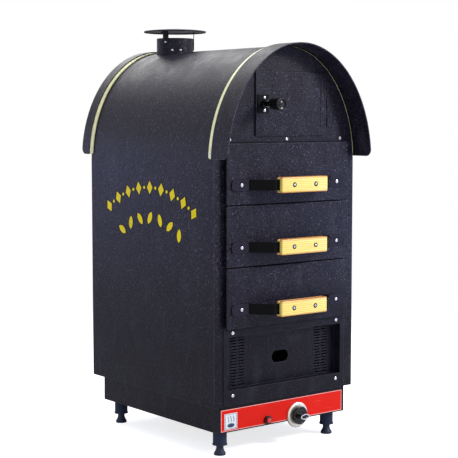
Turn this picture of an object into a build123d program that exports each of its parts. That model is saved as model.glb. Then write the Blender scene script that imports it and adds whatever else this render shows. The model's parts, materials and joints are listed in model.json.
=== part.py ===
from build123d import *
import math
import os

os.makedirs("parts", exist_ok=True)

# Baked potato oven: a gas cabinet with three roasting drawers under a barrel roof,
# a small warming cabinet in the arch, a flue at the back and a plinth on four legs.
# Millimetres. X runs to the right, Y to the back, Z up. The origin is on the floor,
# in the middle of the floor plan.

# ---- body ------------------------------------------------------------------------
body_width = 500.0
body_depth = 590.0
side_height = 641.9
arch_rise = 318.0
sheet = 2.0
thin_sheet = 1.5
fit_gap = 0.1
seat_gap = 0.3

# ---- roof edges ------------------------------------------------------------------
front_overhang = 68.0
rear_overhang = 42.0
hood_sheet = 2.5
hood_foot_rise = 17.1
hood_corner = 20.0
front_hood_start = 3.0
rear_hood_start = 4.0
trim_thickness = 4.0
trim_visible = 15.0
nail_rise = 13.0
nail_head = 3.0
nail_shank = 1.0
nail_length = 5.0

# ---- stand -----------------------------------------------------------------------
foot_height = 28.0
foot_radius = 16.0
foot_rim = 6.0
foot_neck_radius = 10.0
foot_neck_length = 9.0
foot_stem_radius = 5.0
foot_stem_length = 36.0
running_gap = 0.06
leg_length = 39.4
leg_radius = 19.0
leg_rim = 1.5
leg_rim_height = 3.0
leg_wall = 2.0
leg_plug = 12.0
leg_side_inset = 33.3
leg_front_inset = 36.0
leg_rear_inset = 40.0
plinth_height = 74.6
plinth_side_inset = 21.7
plinth_front_inset = 8.1
plinth_rear_inset = 25.8

# ---- drawers ---------------------------------------------------------------------
panel_height = 204.9
drawer_pitch = 165.4
drawer_reveal = 3.0
stile_width = 32.0
drawer_front_depth = 15.0
drawer_plate = 4.0
drawer_skin = 1.5
drawer_step = 9.0
drawer_corner = 4.0
drawer_edge = 2.0
drawer_overlap = 8.0
tray_side_gap = 21.0
tray_height = 108.0
tray_lift = 24.0
tray_length = 516.0
tray_slot_length = 70.0
tray_slot_width = 12.0
tray_slot_columns = 3
tray_slot_rows = 5
tray_slot_pitch_x = 120.0
tray_slot_pitch_y = 90.0

# ---- drawer handles --------------------------------------------------------------
handle_drop = 29.5
handle_height = 29.0
handle_thickness = 4.0
handle_end_gap = 15.0
handle_bolt_inset = 33.0
handle_tab = 58.0
handle_arm = 49.0
handle_standoff = 48.0
handle_bend_radius = 6.0
handle_tab_corner = 11.0
grip_end_gap = 14.5
grip_height = 42.0
grip_front_thickness = 12.0
grip_rear_thickness = 7.0
grip_round = 4.0
grip_end_round = 3.0
grip_screw_x = 38.0
grip_screw_head = 4.5
grip_screw_radius = 2.0
bolt_head = 5.5
bolt_radius = 3.0
bolt_nut = 5.0
bolt_nut_width = 10.0
hole_gap = 0.1
dome_height = 2.0

# ---- warming cabinet -------------------------------------------------------------
door_left_margin = 138.0
door_right_margin = 112.0
door_low = 16.9
door_height = 171.0
door_thickness = 4.0
door_overlap = 8.0
door_seat_gap = 0.5
door_rivet = (52.0, 139.0)
cabinet_left_margin = 20.0
cabinet_right_margin = 12.0
cabinet_depth = 420.0
hinge_radius = 3.5
hinge_pin_radius = 1.5
hinge_leaf_width = 18.0
hinge_leaf_sheet = 1.2
hinge_knuckle = 24.9
hinge_knuckles = 5
hinge_edge = 2.0
knob_inset = 28.0
knob_rise = 102.0
knob_reach = 66.0
knob_radius = 15.0
knob_neck_radius = 7.0
knob_neck_flare = 1.0
knob_edge_round = 1.0
knob_collar_part = 0.12
knob_neck_part = 0.2
knob_flare_part = 0.45
knob_swell_part = 0.8
knob_dome_part = 0.9
knob_collar_radius = 10.0
knob_shaft_radius = 4.0
knob_plate_width = 30.0
knob_plate_height = 50.0
knob_plate_sheet = 2.0
knob_plate_left = 10.0
knob_screw_rise = 17.2
latch_length = 32.0
latch_width = 12.0
latch_thickness = 3.0

# ---- tympanum --------------------------------------------------------------------
tympanum_screw_inset = 52.0
tympanum_screw_rise = 7.0
casing_screw_head = 5.0
casing_screw_radius = 2.0
casing_screw_length = 8.0

# ---- louvred burner panel --------------------------------------------------------
pan_flange = 13.0
pan_low = 39.5
pan_high = 185.0
pan_depth = 27.0
peep_width = 60.0
peep_height = 33.0
peep_rise = 109.0
slot_column_insets = (67.5, 40.0)
slot_length = 22.0
slot_height = 3.6
slot_rows = 17
slot_pitch = 8.1
slot_low = 43.0
panel_screw_inset = 31.0
panel_screw_rises = (26.0, 195.0)

# ---- oven inside -----------------------------------------------------------------
liner_side_gap = 24.0
liner_back_gap = 10.0
runner_height = 20.0
runner_ledge = 27.0
runner_back_gap = 55.0
burner_radius = 16.0
burner_height = 62.0
burner_length = 360.0
burner_slots = 16
burner_slot_pitch = 20.0
burner_slot = (10.0, 3.0)
burner_foot_width = 40.0
burner_foot_sheet = 3.0
burner_foot_spacing = 240.0
air_slot = (120.0, 60.0)
air_slot_x = 120.0

# ---- flue ------------------------------------------------------------------------
flue_radius = 55.0
flue_inset = 78.0
flue_top_rise = 1002.0
flue_seat_gap = 0.3
cap_radius = 93.0
cap_rim_rise = 1024.0
cap_dome = 6.0
cap_lip = 4.0
strap_width = 18.0
strap_sheet = 2.0
strap_low_rise = 968.0
strap_tab = 18.0
strap_angles = (84.0, 204.0, 324.0)
flue_screw_angles = (225.0, 251.0)
flue_screw_rise = 966.0
flue_screw_head = 3.5
flue_screw_shank = 1.2
strap_screw_rise = 990.0

# ---- back ------------------------------------------------------------------------
back_screw_inset = 25.0
back_screw_rises = (30.0, 320.0, 610.0)
back_slot = (120.0, 5.0)
back_slot_rows = 6
back_slot_pitch = 14.0
back_slot_rise = 60.0

# ---- gas controls ----------------------------------------------------------------
label_end_gap = 8.3
label_height = 59.5
label_sheet = 0.5
label_rise = 32.9
badge_size = 43.5
badge_inset = 34.0
badge_rise = 29.4
control_rise = 14.6
gas_x = 48.0
bezel_radius = 36.0
bezel_thickness = 8.0
bezel_edge = 4.0
gas_knob_radius = 23.0
gas_knob_disc = 7.0
gas_knob_blade = 18.0
gas_blade_draft = 4.0
gas_knob_blade_width = 14.0
gas_knob_blade_length = 36.0
gas_knob_clearance = 4.6
gas_knob_push = 3.5
stem_radius = 4.0
stem_hole_radius = 6.0
stem_grip = 12.0
stem_inner_length = 29.0
valve_width = 32.0
valve_height = 24.0
valve_length = 40.0
valve_boss_radius = 9.0
valve_boss_length = 10.0
piezo_x = -58.0
piezo_collar_radius = 12.0
piezo_collar_length = 6.0
piezo_barrel_radius = 9.0
piezo_barrel_length = 24.0
piezo_button_radius = 7.0
piezo_button_reach = 5.0
button_dome = 1.0
piezo_travel = 4.0
pipe_radius = 6.0
feed_radius = 5.0
feed_room = 1.0
feed_bend = 15.0
inlet_radius = 10.48
inlet_length = 26.0
inlet_bore = 6.5
inlet_room = 1.3
inlet_hex = 24.0
inlet_hex_length = 8.0

# ---- levels and faces worked out from the sizes ----------------------------------
handle_reach = handle_standoff + handle_thickness + grip_front_thickness + dome_height
front_reach = max(front_overhang, door_seat_gap + drawer_front_depth + handle_reach)
front_y = -(body_depth + rear_overhang - front_reach) / 2
back_y = front_y + body_depth
plinth_z = foot_height + leg_length
base_z = plinth_z + plinth_height
spring_z = base_z + side_height
hood_foot_z = spring_z + hood_foot_rise
drawers_z = base_z + panel_height
arch_z = drawers_z + 3 * drawer_pitch
plinth_front_y = front_y + plinth_front_inset
plinth_back_y = back_y - plinth_rear_inset
half_turn = 180.0
half_width = body_width / 2
plinth_half = half_width - plinth_side_inset
leg_spacing = 2 * (plinth_half - leg_side_inset)
liner_half_width = half_width - liner_side_gap
tray_half_width = liner_half_width - tray_side_gap
drawer_front_width = body_width - 2 * stile_width
handle_half_length = drawer_front_width / 2 - handle_end_gap
handle_bolt_x = handle_half_length - handle_bolt_inset
handle_bend_x = handle_half_length - handle_tab
handle_shoulder_x = handle_bend_x - handle_arm
grip_length = 2 * (handle_shoulder_x - grip_end_gap)
door_left = door_left_margin - half_width
door_right = half_width - door_right_margin
knob_x = door_left + knob_inset
tympanum_screw_x = half_width - tympanum_screw_inset
pan_half_width = drawer_front_width / 2 - pan_flange
slot_column_x = [pan_half_width - inset for inset in slot_column_insets]
panel_screw_x = drawer_front_width / 2 - panel_screw_inset
flue_y = back_y - flue_inset
back_screw_x = half_width - back_screw_inset
label_width = 2 * (plinth_half - label_end_gap)
badge_x = badge_inset - label_width / 2
trim_grow = 2 * fit_gap
hood_grow = trim_grow + trim_thickness + 2 * fit_gap
drawer_back_y = front_y - door_seat_gap
drawer_face_y = drawer_back_y - drawer_front_depth
liner_back_y = back_y - liner_back_gap
liner_top_z = arch_z - drawer_reveal
door_z = arch_z + door_low
tympanum_face_y = front_y - sheet
door_back_y = tympanum_face_y - door_seat_gap
door_face_y = door_back_y - door_thickness
control_z = plinth_z + control_rise
label_face_y = plinth_front_y - label_sheet
bezel_face_y = label_face_y - bezel_thickness
valve_front_y = plinth_front_y + sheet
gas_knob_back_y = bezel_face_y - gas_knob_clearance
stem_tip_y = gas_knob_back_y - stem_grip


def upright(y):
    """Plane that faces the front at depth y, with local X to the right and local Y up."""
    return Plane.XZ.offset(-y)


def seat_plane(point, inward):
    """Plane whose local Y runs into the surface at point, for turned pieces."""
    return Plane(point, x_dir=(inward[1], -inward[0], 0), z_dir=(0, 0, 1))


def seat_axis(point, inward):
    """Axis that a piece seated at point is turned about."""
    return Axis(point, (inward[0], inward[1], 0))


def floor_axis(x, y):
    """Upright axis over a point of the floor plan."""
    return Axis((x, y, 0), (0, 0, 1))


def arch_outline(grow, foot_z):
    """Half ellipse on straight sides, standing on foot_z, grown out from the casing."""
    half = half_width + grow
    with BuildSketch() as outline:
        with BuildLine():
            Polyline((half, spring_z), (half, foot_z), (-half, foot_z), (-half, spring_z))
            EllipticalCenterArc((0, spring_z), half, arch_rise + grow, 0, arc_size=half_turn)
        make_face()
    return outline.sketch


def arch_band(grow, thickness, foot_z):
    """Sheet bent round the arch, with its two ends cut level at foot_z."""
    with BuildSketch() as band:
        add(arch_outline(grow + thickness, base_z))
        add(arch_outline(grow, base_z), mode=Mode.SUBTRACT)
        with Locations((0, (base_z + foot_z) / 2)):
            Rectangle(2 * body_width, foot_z - base_z, mode=Mode.SUBTRACT)
    return band.sketch


def span(left, right, low, high):
    """Rectangle between two X and two Z values, as a face."""
    with BuildSketch() as field:
        with Locations(((left + right) / 2, (low + high) / 2)):
            Rectangle(right - left, high - low)
    return field.sketch


def lathe_face(*points):
    """Closed profile for a turned piece, given as radius and length pairs."""
    with BuildSketch() as profile:
        with BuildLine():
            Polyline(*points, close=True)
        make_face()
    return profile.sketch


def dome_middle(radius, edge_y, top_y):
    """Point half way out on a shallow round dome from (radius, edge_y) to (0, top_y)."""
    height = abs(top_y - edge_y)
    sphere = (radius**2 + height**2) / (2 * height)
    rise = math.sqrt(sphere**2 - radius**2 / 4) - sphere + height
    return (radius / 2, edge_y + math.copysign(rise, top_y - edge_y))


def screw_face(head, shank, length):
    """Half section of a dome-headed screw whose head seats at local Y of zero."""
    with BuildSketch() as profile:
        with BuildLine():
            ThreePointArc((head, 0), dome_middle(head, 0, -dome_height), (0, -dome_height))
            Polyline((0, -dome_height), (0, length), (shank, length), (shank, 0), (head, 0))
        make_face()
    return profile.sketch


def hole_face(places, radius):
    """Round holes at the given places of a sketch."""
    with BuildSketch() as holes:
        with Locations(*places):
            Circle(radius + hole_gap)
    return holes.sketch


def save(name, part):
    """Label one finished sub-part and write it out."""
    part.label = name
    export_step(part, f"parts/{name}.step")


# ---- where the casing's screws, nails and flue screws sit ------------------------
tympanum_holes = [
    (x, arch_z + tympanum_screw_rise) for x in (-tympanum_screw_x, 0, tympanum_screw_x)
]
panel_holes = [
    (side * panel_screw_x, base_z + rise) for side in (-1, 1) for rise in panel_screw_rises
]
back_holes = [
    (side * back_screw_x, base_z + rise) for side in (-1, 1) for rise in back_screw_rises
]
trim_tucked = front_hood_start + sheet
front_hood_y = front_y + front_hood_start
rear_hood_y = back_y + rear_hood_start
nail_z = hood_foot_z + nail_rise
nail_places = [
    (front_hood_y + trim_visible / 2, nail_z),
    (rear_hood_y - trim_visible / 2, nail_z),
]
strap_in = flue_radius + fit_gap
flue_screw_plans = [(angle, strap_in, base_z + flue_screw_rise) for angle in flue_screw_angles]
flue_screw_plans += [
    (angle, strap_in + strap_sheet, base_z + strap_screw_rise) for angle in strap_angles
]


def flue_seat(angle, radius, height):
    """Seat of a flue screw and the direction that it runs in."""
    turn = math.radians(angle)
    inward = (-math.cos(turn), -math.sin(turn))
    return (-radius * inward[0], flue_y - radius * inward[1], height), inward


# ---- casing ----------------------------------------------------------------------
with BuildPart() as casing_wrap:
    with BuildSketch(upright(back_y)):
        add(arch_outline(0, base_z))
        add(arch_outline(-sheet, base_z), mode=Mode.SUBTRACT)
    extrude(amount=body_depth)
    with BuildSketch(Plane.XY.offset(spring_z)):
        with Locations((0, flue_y)):
            Circle(flue_radius + flue_seat_gap)
    extrude(amount=2 * arch_rise, mode=Mode.SUBTRACT)
    with BuildSketch(Plane.YZ):
        add(hole_face(nail_places, nail_shank))
    extrude(amount=body_width, both=True, mode=Mode.SUBTRACT)
save("casing_wrap", casing_wrap.part)

with BuildPart() as back_panel:
    with BuildSketch(upright(back_y)):
        add(arch_outline(-sheet - fit_gap, base_z))
        add(hole_face(back_holes, casing_screw_radius), mode=Mode.SUBTRACT)
        for row in range(back_slot_rows):
            row_z = base_z + back_slot_rise + row * back_slot_pitch
            with Locations((-back_slot[0], row_z), (back_slot[0], row_z)):
                SlotOverall(*back_slot, mode=Mode.SUBTRACT)
    extrude(amount=sheet)
save("back_panel", back_panel.part)

with BuildPart() as front_frame:
    with BuildSketch(upright(front_y + sheet)):
        add(arch_outline(-sheet - fit_gap, base_z))
        opening = drawer_front_width / 2 - drawer_overlap
        for drawer in range(3):
            low = drawers_z + drawer * drawer_pitch
            add(
                span(-opening, opening, low + drawer_overlap, low + drawer_pitch - drawer_overlap),
                mode=Mode.SUBTRACT,
            )
        add(
            span(
                door_left + door_overlap,
                door_right - door_overlap,
                door_z + door_overlap,
                door_z + door_height - door_overlap,
            ),
            mode=Mode.SUBTRACT,
        )
        pan_side = pan_half_width + fit_gap
        add(
            span(-pan_side, pan_side, base_z + pan_low - fit_gap, base_z + pan_high + fit_gap),
            mode=Mode.SUBTRACT,
        )
        add(hole_face(tympanum_holes + panel_holes, casing_screw_radius), mode=Mode.SUBTRACT)
    extrude(amount=sheet)
save("front_frame", front_frame.part)

with BuildPart() as tympanum_panel:
    with BuildSketch(upright(front_y)):
        add(arch_outline(-sheet, base_z))
        add(span(-body_width, body_width, base_z, arch_z), mode=Mode.SUBTRACT)
        add(hole_face(tympanum_holes, casing_screw_radius), mode=Mode.SUBTRACT)
        add(
            span(
                door_left + door_overlap,
                door_right - door_overlap,
                door_z + door_overlap,
                door_z + door_height - door_overlap,
            ),
            mode=Mode.SUBTRACT,
        )
    extrude(amount=sheet)
save("tympanum_panel", tympanum_panel.part)

with BuildPart() as floor_plate:
    with BuildSketch(Plane.XY.offset(base_z)):
        plate_half = half_width - sheet - fit_gap
        add(span(-plate_half, plate_half, front_y + sheet, back_y - sheet))
        with Locations((-air_slot_x, 0), (air_slot_x, 0)):
            Rectangle(*air_slot, mode=Mode.SUBTRACT)
        with Locations((gas_x, valve_front_y + valve_boss_length + valve_length / 2)):
            Circle(feed_radius + feed_room, mode=Mode.SUBTRACT)
    extrude(amount=sheet)
save("floor_plate", floor_plate.part)

# ---- hoods and their trims -------------------------------------------------------
hood_plans = (
    ("front", front_y - front_overhang, front_hood_y),
    ("rear", rear_hood_y, back_y + rear_overhang),
)
for end, near_y, far_y in hood_plans:
    with BuildPart() as hood:
        with BuildSketch(upright(far_y)):
            add(arch_band(hood_grow, hood_sheet, hood_foot_z))
        extrude(amount=far_y - near_y)
        outer_end = Axis.Y if end == "rear" else Axis((0, 0, 0), (0, -1, 0))
        foot_edges = hood.edges().filter_by(Axis.X).group_by(Axis.Z)[0]
        fillet(foot_edges.group_by(outer_end)[-1], hood_corner)
    save(f"{end}_hood", hood.part)

trim_plans = (
    ("front", tympanum_face_y, front_hood_y + trim_visible),
    ("rear", rear_hood_y - trim_visible, rear_hood_y + trim_tucked),
)
for end, near_y, far_y in trim_plans:
    with BuildPart() as trim:
        with BuildSketch(upright(far_y)):
            add(arch_band(trim_grow, trim_thickness, hood_foot_z))
        extrude(amount=far_y - near_y)
        with BuildSketch(Plane.YZ):
            add(hole_face(nail_places, nail_shank))
        extrude(amount=body_width, both=True, mode=Mode.SUBTRACT)
    save(f"{end}_trim", trim.part)

trim_outer = half_width + trim_grow + trim_thickness
nail_drop = math.sqrt(1 - ((nail_z - spring_z) / (arch_rise + trim_grow + trim_thickness)) ** 2)
with BuildPart() as trim_nails:
    for side in (-1, 1):
        for nail_y, _ in nail_places:
            seat = (side * (trim_outer * nail_drop + seat_gap), nail_y, nail_z)
            with BuildSketch(seat_plane(seat, (-side, 0))):
                add(screw_face(nail_head, nail_shank, nail_length))
            revolve(axis=seat_axis(seat, (-side, 0)))
save("trim_nails", trim_nails.part)

# ---- stand -----------------------------------------------------------------------
with BuildPart() as plinth_box:
    with BuildSketch(Plane.XY.offset(plinth_z)):
        add(span(-plinth_half, plinth_half, plinth_front_y, plinth_back_y))
    extrude(amount=plinth_height)
    with BuildSketch(Plane.XY.offset(plinth_z + sheet)):
        add(
            span(
                -plinth_half + sheet,
                plinth_half - sheet,
                plinth_front_y + sheet,
                plinth_back_y - sheet,
            )
        )
    extrude(amount=plinth_height, mode=Mode.SUBTRACT)
    with BuildSketch(upright(plinth_front_y + 2 * sheet)):
        with Locations((gas_x, control_z)):
            Circle(stem_hole_radius)
        with Locations((piezo_x, control_z)):
            Circle(piezo_barrel_radius + fit_gap)
    extrude(amount=3 * sheet, mode=Mode.SUBTRACT)
    with BuildSketch(upright(plinth_back_y + sheet)):
        with Locations((gas_x, control_z)):
            Circle(inlet_radius + inlet_room)
    extrude(amount=4 * sheet, mode=Mode.SUBTRACT)
save("plinth_box", plinth_box.part)

leg_ys = (plinth_front_y + leg_front_inset, plinth_back_y - leg_rear_inset)
leg_places = [(side * leg_spacing / 2, leg_y) for leg_y in leg_ys for side in (-1, 1)]
leg_names = ("front_left", "front_right", "rear_left", "rear_right")
bore = foot_stem_radius + running_gap
with BuildPart() as legs:
    for leg_x, leg_y in leg_places:
        with BuildSketch(Plane((leg_x, leg_y, 0), x_dir=(1, 0, 0), z_dir=(0, -1, 0))):
            add(
                lathe_face(
                    (bore, foot_height),
                    (leg_radius + leg_rim, foot_height),
                    (leg_radius + leg_rim, foot_height + leg_rim_height),
                    (leg_radius, foot_height + leg_rim_height),
                    (leg_radius, plinth_z),
                    (leg_radius - leg_wall, plinth_z),
                    (leg_radius - leg_wall, foot_height + leg_plug),
                    (bore, foot_height + leg_plug),
                )
            )
        revolve(axis=floor_axis(leg_x, leg_y))
save("legs", legs.part)

foot_top = foot_height - seat_gap
for leg_name, (leg_x, leg_y) in zip(leg_names, leg_places):
    with BuildPart() as foot:
        with BuildSketch(Plane((leg_x, leg_y, 0), x_dir=(1, 0, 0), z_dir=(0, -1, 0))):
            with BuildLine():
                Polyline(
                    (foot_neck_radius, foot_top - foot_neck_length),
                    (foot_neck_radius, foot_top),
                    (foot_stem_radius, foot_top),
                    (foot_stem_radius, foot_top + foot_stem_length),
                    (0, foot_top + foot_stem_length),
                    (0, 0),
                    (foot_radius, 0),
                    (foot_radius, foot_rim),
                )
                ThreePointArc(
                    (foot_radius, foot_rim),
                    (
                        (foot_radius + 2 * foot_neck_radius) / 3,
                        (foot_rim + foot_top - foot_neck_length) / 2,
                    ),
                    (foot_neck_radius, foot_top - foot_neck_length),
                )
            make_face()
        revolve(axis=floor_axis(leg_x, leg_y))
    save(f"{leg_name}_foot", foot.part)

# ---- louvred burner panel --------------------------------------------------------
panel_half = drawer_front_width / 2
pan_back_y = front_y - sheet + pan_depth
with BuildPart() as louvre_panel:
    with BuildSketch(upright(front_y)):
        add(span(-panel_half, panel_half, base_z, drawers_z - drawer_reveal / 2))
        add(hole_face(panel_holes, casing_screw_radius), mode=Mode.SUBTRACT)
    extrude(amount=sheet)
    with BuildSketch(upright(pan_back_y)):
        add(span(-pan_half_width, pan_half_width, base_z + pan_low, base_z + pan_high))
    extrude(amount=pan_depth)
    with BuildSketch(upright(pan_back_y - thin_sheet)):
        add(
            span(
                -pan_half_width + thin_sheet,
                pan_half_width - thin_sheet,
                base_z + pan_low + thin_sheet,
                base_z + pan_high - thin_sheet,
            )
        )
    extrude(amount=pan_depth, mode=Mode.SUBTRACT)
    with BuildSketch(upright(pan_back_y)):
        with Locations((0, base_z + peep_rise)):
            SlotOverall(peep_width, peep_height)
        for side in (-1, 1):
            for column_x in slot_column_x:
                for row in range(slot_rows):
                    with Locations((side * column_x, base_z + slot_low + (row + 0.5) * slot_pitch)):
                        Rectangle(slot_length, slot_height)
    extrude(amount=2 * thin_sheet, mode=Mode.SUBTRACT)
save("louvre_panel", louvre_panel.part)

# ---- casing screws ---------------------------------------------------------------
seats = [((x, tympanum_face_y, z), (0, 1)) for x, z in tympanum_holes + panel_holes]
seats += [((x, back_y, z), (0, -1)) for x, z in back_holes]
with BuildPart() as casing_screws:
    for seat, inward in seats:
        with BuildSketch(seat_plane(seat, inward)):
            add(screw_face(casing_screw_head, casing_screw_radius, casing_screw_length))
        revolve(axis=seat_axis(seat, inward))
save("casing_screws", casing_screws.part)

# ---- oven inside -----------------------------------------------------------------
liner_front_y = front_y + sheet
liner_low_z = base_z + sheet
with BuildPart() as oven_liner:
    with BuildSketch(upright(liner_back_y)):
        add(span(-liner_half_width, liner_half_width, liner_low_z, liner_top_z))
    extrude(amount=liner_back_y - liner_front_y)
    with BuildSketch(upright(liner_back_y - thin_sheet)):
        add(
            span(
                -liner_half_width + thin_sheet,
                liner_half_width - thin_sheet,
                liner_low_z,
                liner_top_z - thin_sheet,
            )
        )
    extrude(amount=liner_back_y - liner_front_y, mode=Mode.SUBTRACT)
    with BuildSketch(Plane.XY.offset(liner_top_z)):
        with Locations((0, flue_y)):
            Circle(flue_radius - thin_sheet)
    extrude(amount=-2 * thin_sheet, mode=Mode.SUBTRACT)
save("oven_liner", oven_liner.part)

tray_front_y = drawer_back_y - thin_sheet
tray_back_y = tray_front_y + tray_length
runner_x = liner_half_width - thin_sheet - fit_gap
runner_back_y = liner_back_y - runner_back_gap
with BuildPart() as drawer_runners:
    for drawer in range(3):
        ledge_z = drawers_z + drawer * drawer_pitch + tray_lift - seat_gap
        for side in (-1, 1):
            with BuildSketch(upright(runner_back_y)):
                with BuildLine():
                    Polyline(
                        (side * runner_x, ledge_z - thin_sheet),
                        (side * runner_x, ledge_z + runner_height),
                        (side * (runner_x - thin_sheet), ledge_z + runner_height),
                        (side * (runner_x - thin_sheet), ledge_z),
                        (side * (runner_x - runner_ledge), ledge_z),
                        (side * (runner_x - runner_ledge), ledge_z - thin_sheet),
                        close=True,
                    )
                make_face()
            extrude(amount=runner_back_y - liner_front_y - sheet)
save("drawer_runners", drawer_runners.part)

burner_z = base_z + sheet + burner_height
burner_ends = (-burner_length / 2, burner_length / 2)
burner_plane = Plane((0, burner_ends[1], burner_z), x_dir=(1, 0, 0), z_dir=(0, -1, 0))
with BuildPart() as burner_tube:
    with BuildSketch(burner_plane):
        Circle(burner_radius)
    extrude(amount=burner_length)
    with BuildSketch(burner_plane.offset(thin_sheet)):
        Circle(burner_radius - thin_sheet)
    extrude(amount=burner_length - 2 * thin_sheet, mode=Mode.SUBTRACT)
    with BuildSketch(Plane.XY.offset(burner_z)):
        with GridLocations(0, burner_slot_pitch, 1, burner_slots):
            Rectangle(*burner_slot)
    extrude(amount=2 * burner_radius, mode=Mode.SUBTRACT)
    for side in (-1, 1):
        with BuildSketch(upright(side * burner_foot_spacing / 2 + burner_foot_sheet / 2)):
            half_foot = burner_foot_width / 2
            add(span(-half_foot, half_foot, liner_low_z, burner_z))
            with Locations((0, burner_z)):
                Circle(burner_radius - thin_sheet / 2, mode=Mode.SUBTRACT)
        extrude(amount=burner_foot_sheet)
save("burner_tube", burner_tube.part)

cabinet_inner = (
    door_left + door_overlap - cabinet_left_margin,
    door_right - door_overlap + cabinet_right_margin,
    door_z + door_overlap,
    door_z + door_height - door_overlap,
)
with BuildPart() as warming_cabinet:
    with BuildSketch(upright(liner_front_y + cabinet_depth)):
        add(
            span(
                cabinet_inner[0] - thin_sheet,
                cabinet_inner[1] + thin_sheet,
                cabinet_inner[2] - thin_sheet,
                cabinet_inner[3] + thin_sheet,
            )
        )
    extrude(amount=cabinet_depth)
    with BuildSketch(upright(liner_front_y + cabinet_depth - thin_sheet)):
        add(span(*cabinet_inner))
    extrude(amount=cabinet_depth, mode=Mode.SUBTRACT)
save("warming_cabinet", warming_cabinet.part)

# ---- flue ------------------------------------------------------------------------
flue_top_z = base_z + flue_top_rise
with BuildPart() as flue_pipe:
    with BuildSketch(Plane.XY.offset(liner_top_z)):
        with Locations((0, flue_y)):
            Circle(flue_radius)
            Circle(flue_radius - thin_sheet, mode=Mode.SUBTRACT)
    extrude(amount=flue_top_z - liner_top_z)
    for plan in flue_screw_plans:
        seat, inward = flue_seat(*plan)
        with BuildSketch(Plane(seat, z_dir=(*inward, 0))):
            Circle(flue_screw_shank + hole_gap)
        extrude(amount=casing_screw_length, mode=Mode.SUBTRACT)
save("flue_pipe", flue_pipe.part)

cap_rim_z = base_z + cap_rim_rise
dome_radius = (cap_radius**2 + cap_dome**2) / (2 * cap_dome)


def cap_height(radius):
    """Height of the cap's outer face at a distance from its middle."""
    return cap_rim_z + cap_dome - dome_radius + math.sqrt(dome_radius**2 - radius**2)


cap_inner = cap_radius - thin_sheet
with BuildPart() as flue_cap:
    with BuildSketch(Plane((0, flue_y, 0), x_dir=(1, 0, 0), z_dir=(0, -1, 0))):
        with BuildLine():
            ThreePointArc(
                (0, cap_height(0)),
                (cap_radius / 2, cap_height(cap_radius / 2)),
                (cap_radius, cap_height(cap_radius)),
            )
            Polyline(
                (cap_radius, cap_height(cap_radius)),
                (cap_radius, cap_rim_z - cap_lip),
                (cap_inner, cap_rim_z - cap_lip),
                (cap_inner, cap_height(cap_inner) - thin_sheet),
            )
            ThreePointArc(
                (cap_inner, cap_height(cap_inner) - thin_sheet),
                (cap_inner / 2, cap_height(cap_inner / 2) - thin_sheet),
                (0, cap_height(0) - thin_sheet),
            )
            Line((0, cap_height(0) - thin_sheet), (0, cap_height(0)))
        make_face()
    revolve(axis=floor_axis(0, flue_y))
save("flue_cap", flue_cap.part)

strap_out = strap_in + strap_tab
strap_low_z = base_z + strap_low_rise
strap_top_z = cap_height(strap_out) - thin_sheet - fit_gap
with BuildPart() as flue_cap_straps:
    for angle in strap_angles:
        turn = math.radians(angle)
        radial = Plane(
            (0, flue_y, 0),
            x_dir=(math.cos(turn), math.sin(turn), 0),
            z_dir=(math.sin(turn), -math.cos(turn), 0),
        )
        with BuildSketch(radial):
            with BuildLine():
                Polyline(
                    (strap_in, strap_low_z),
                    (strap_in, strap_top_z),
                    (strap_out, strap_top_z),
                    (strap_out, strap_top_z - strap_sheet),
                    (strap_in + strap_sheet, strap_top_z - strap_sheet),
                    (strap_in + strap_sheet, strap_low_z),
                    close=True,
                )
            make_face()
        extrude(amount=strap_width / 2, both=True)
        seat, inward = flue_seat(angle, strap_in + strap_sheet, base_z + strap_screw_rise)
        with BuildSketch(Plane(seat, z_dir=(*inward, 0))):
            Circle(flue_screw_shank + hole_gap)
        extrude(amount=strap_sheet, mode=Mode.SUBTRACT)
save("flue_cap_straps", flue_cap_straps.part)

with BuildPart() as flue_screws:
    for plan in flue_screw_plans:
        seat, inward = flue_seat(*plan)
        with BuildSketch(seat_plane(seat, inward)):
            add(screw_face(flue_screw_head, flue_screw_shank, casing_screw_length))
        revolve(axis=seat_axis(seat, inward))
save("flue_screws", flue_screws.part)

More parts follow.
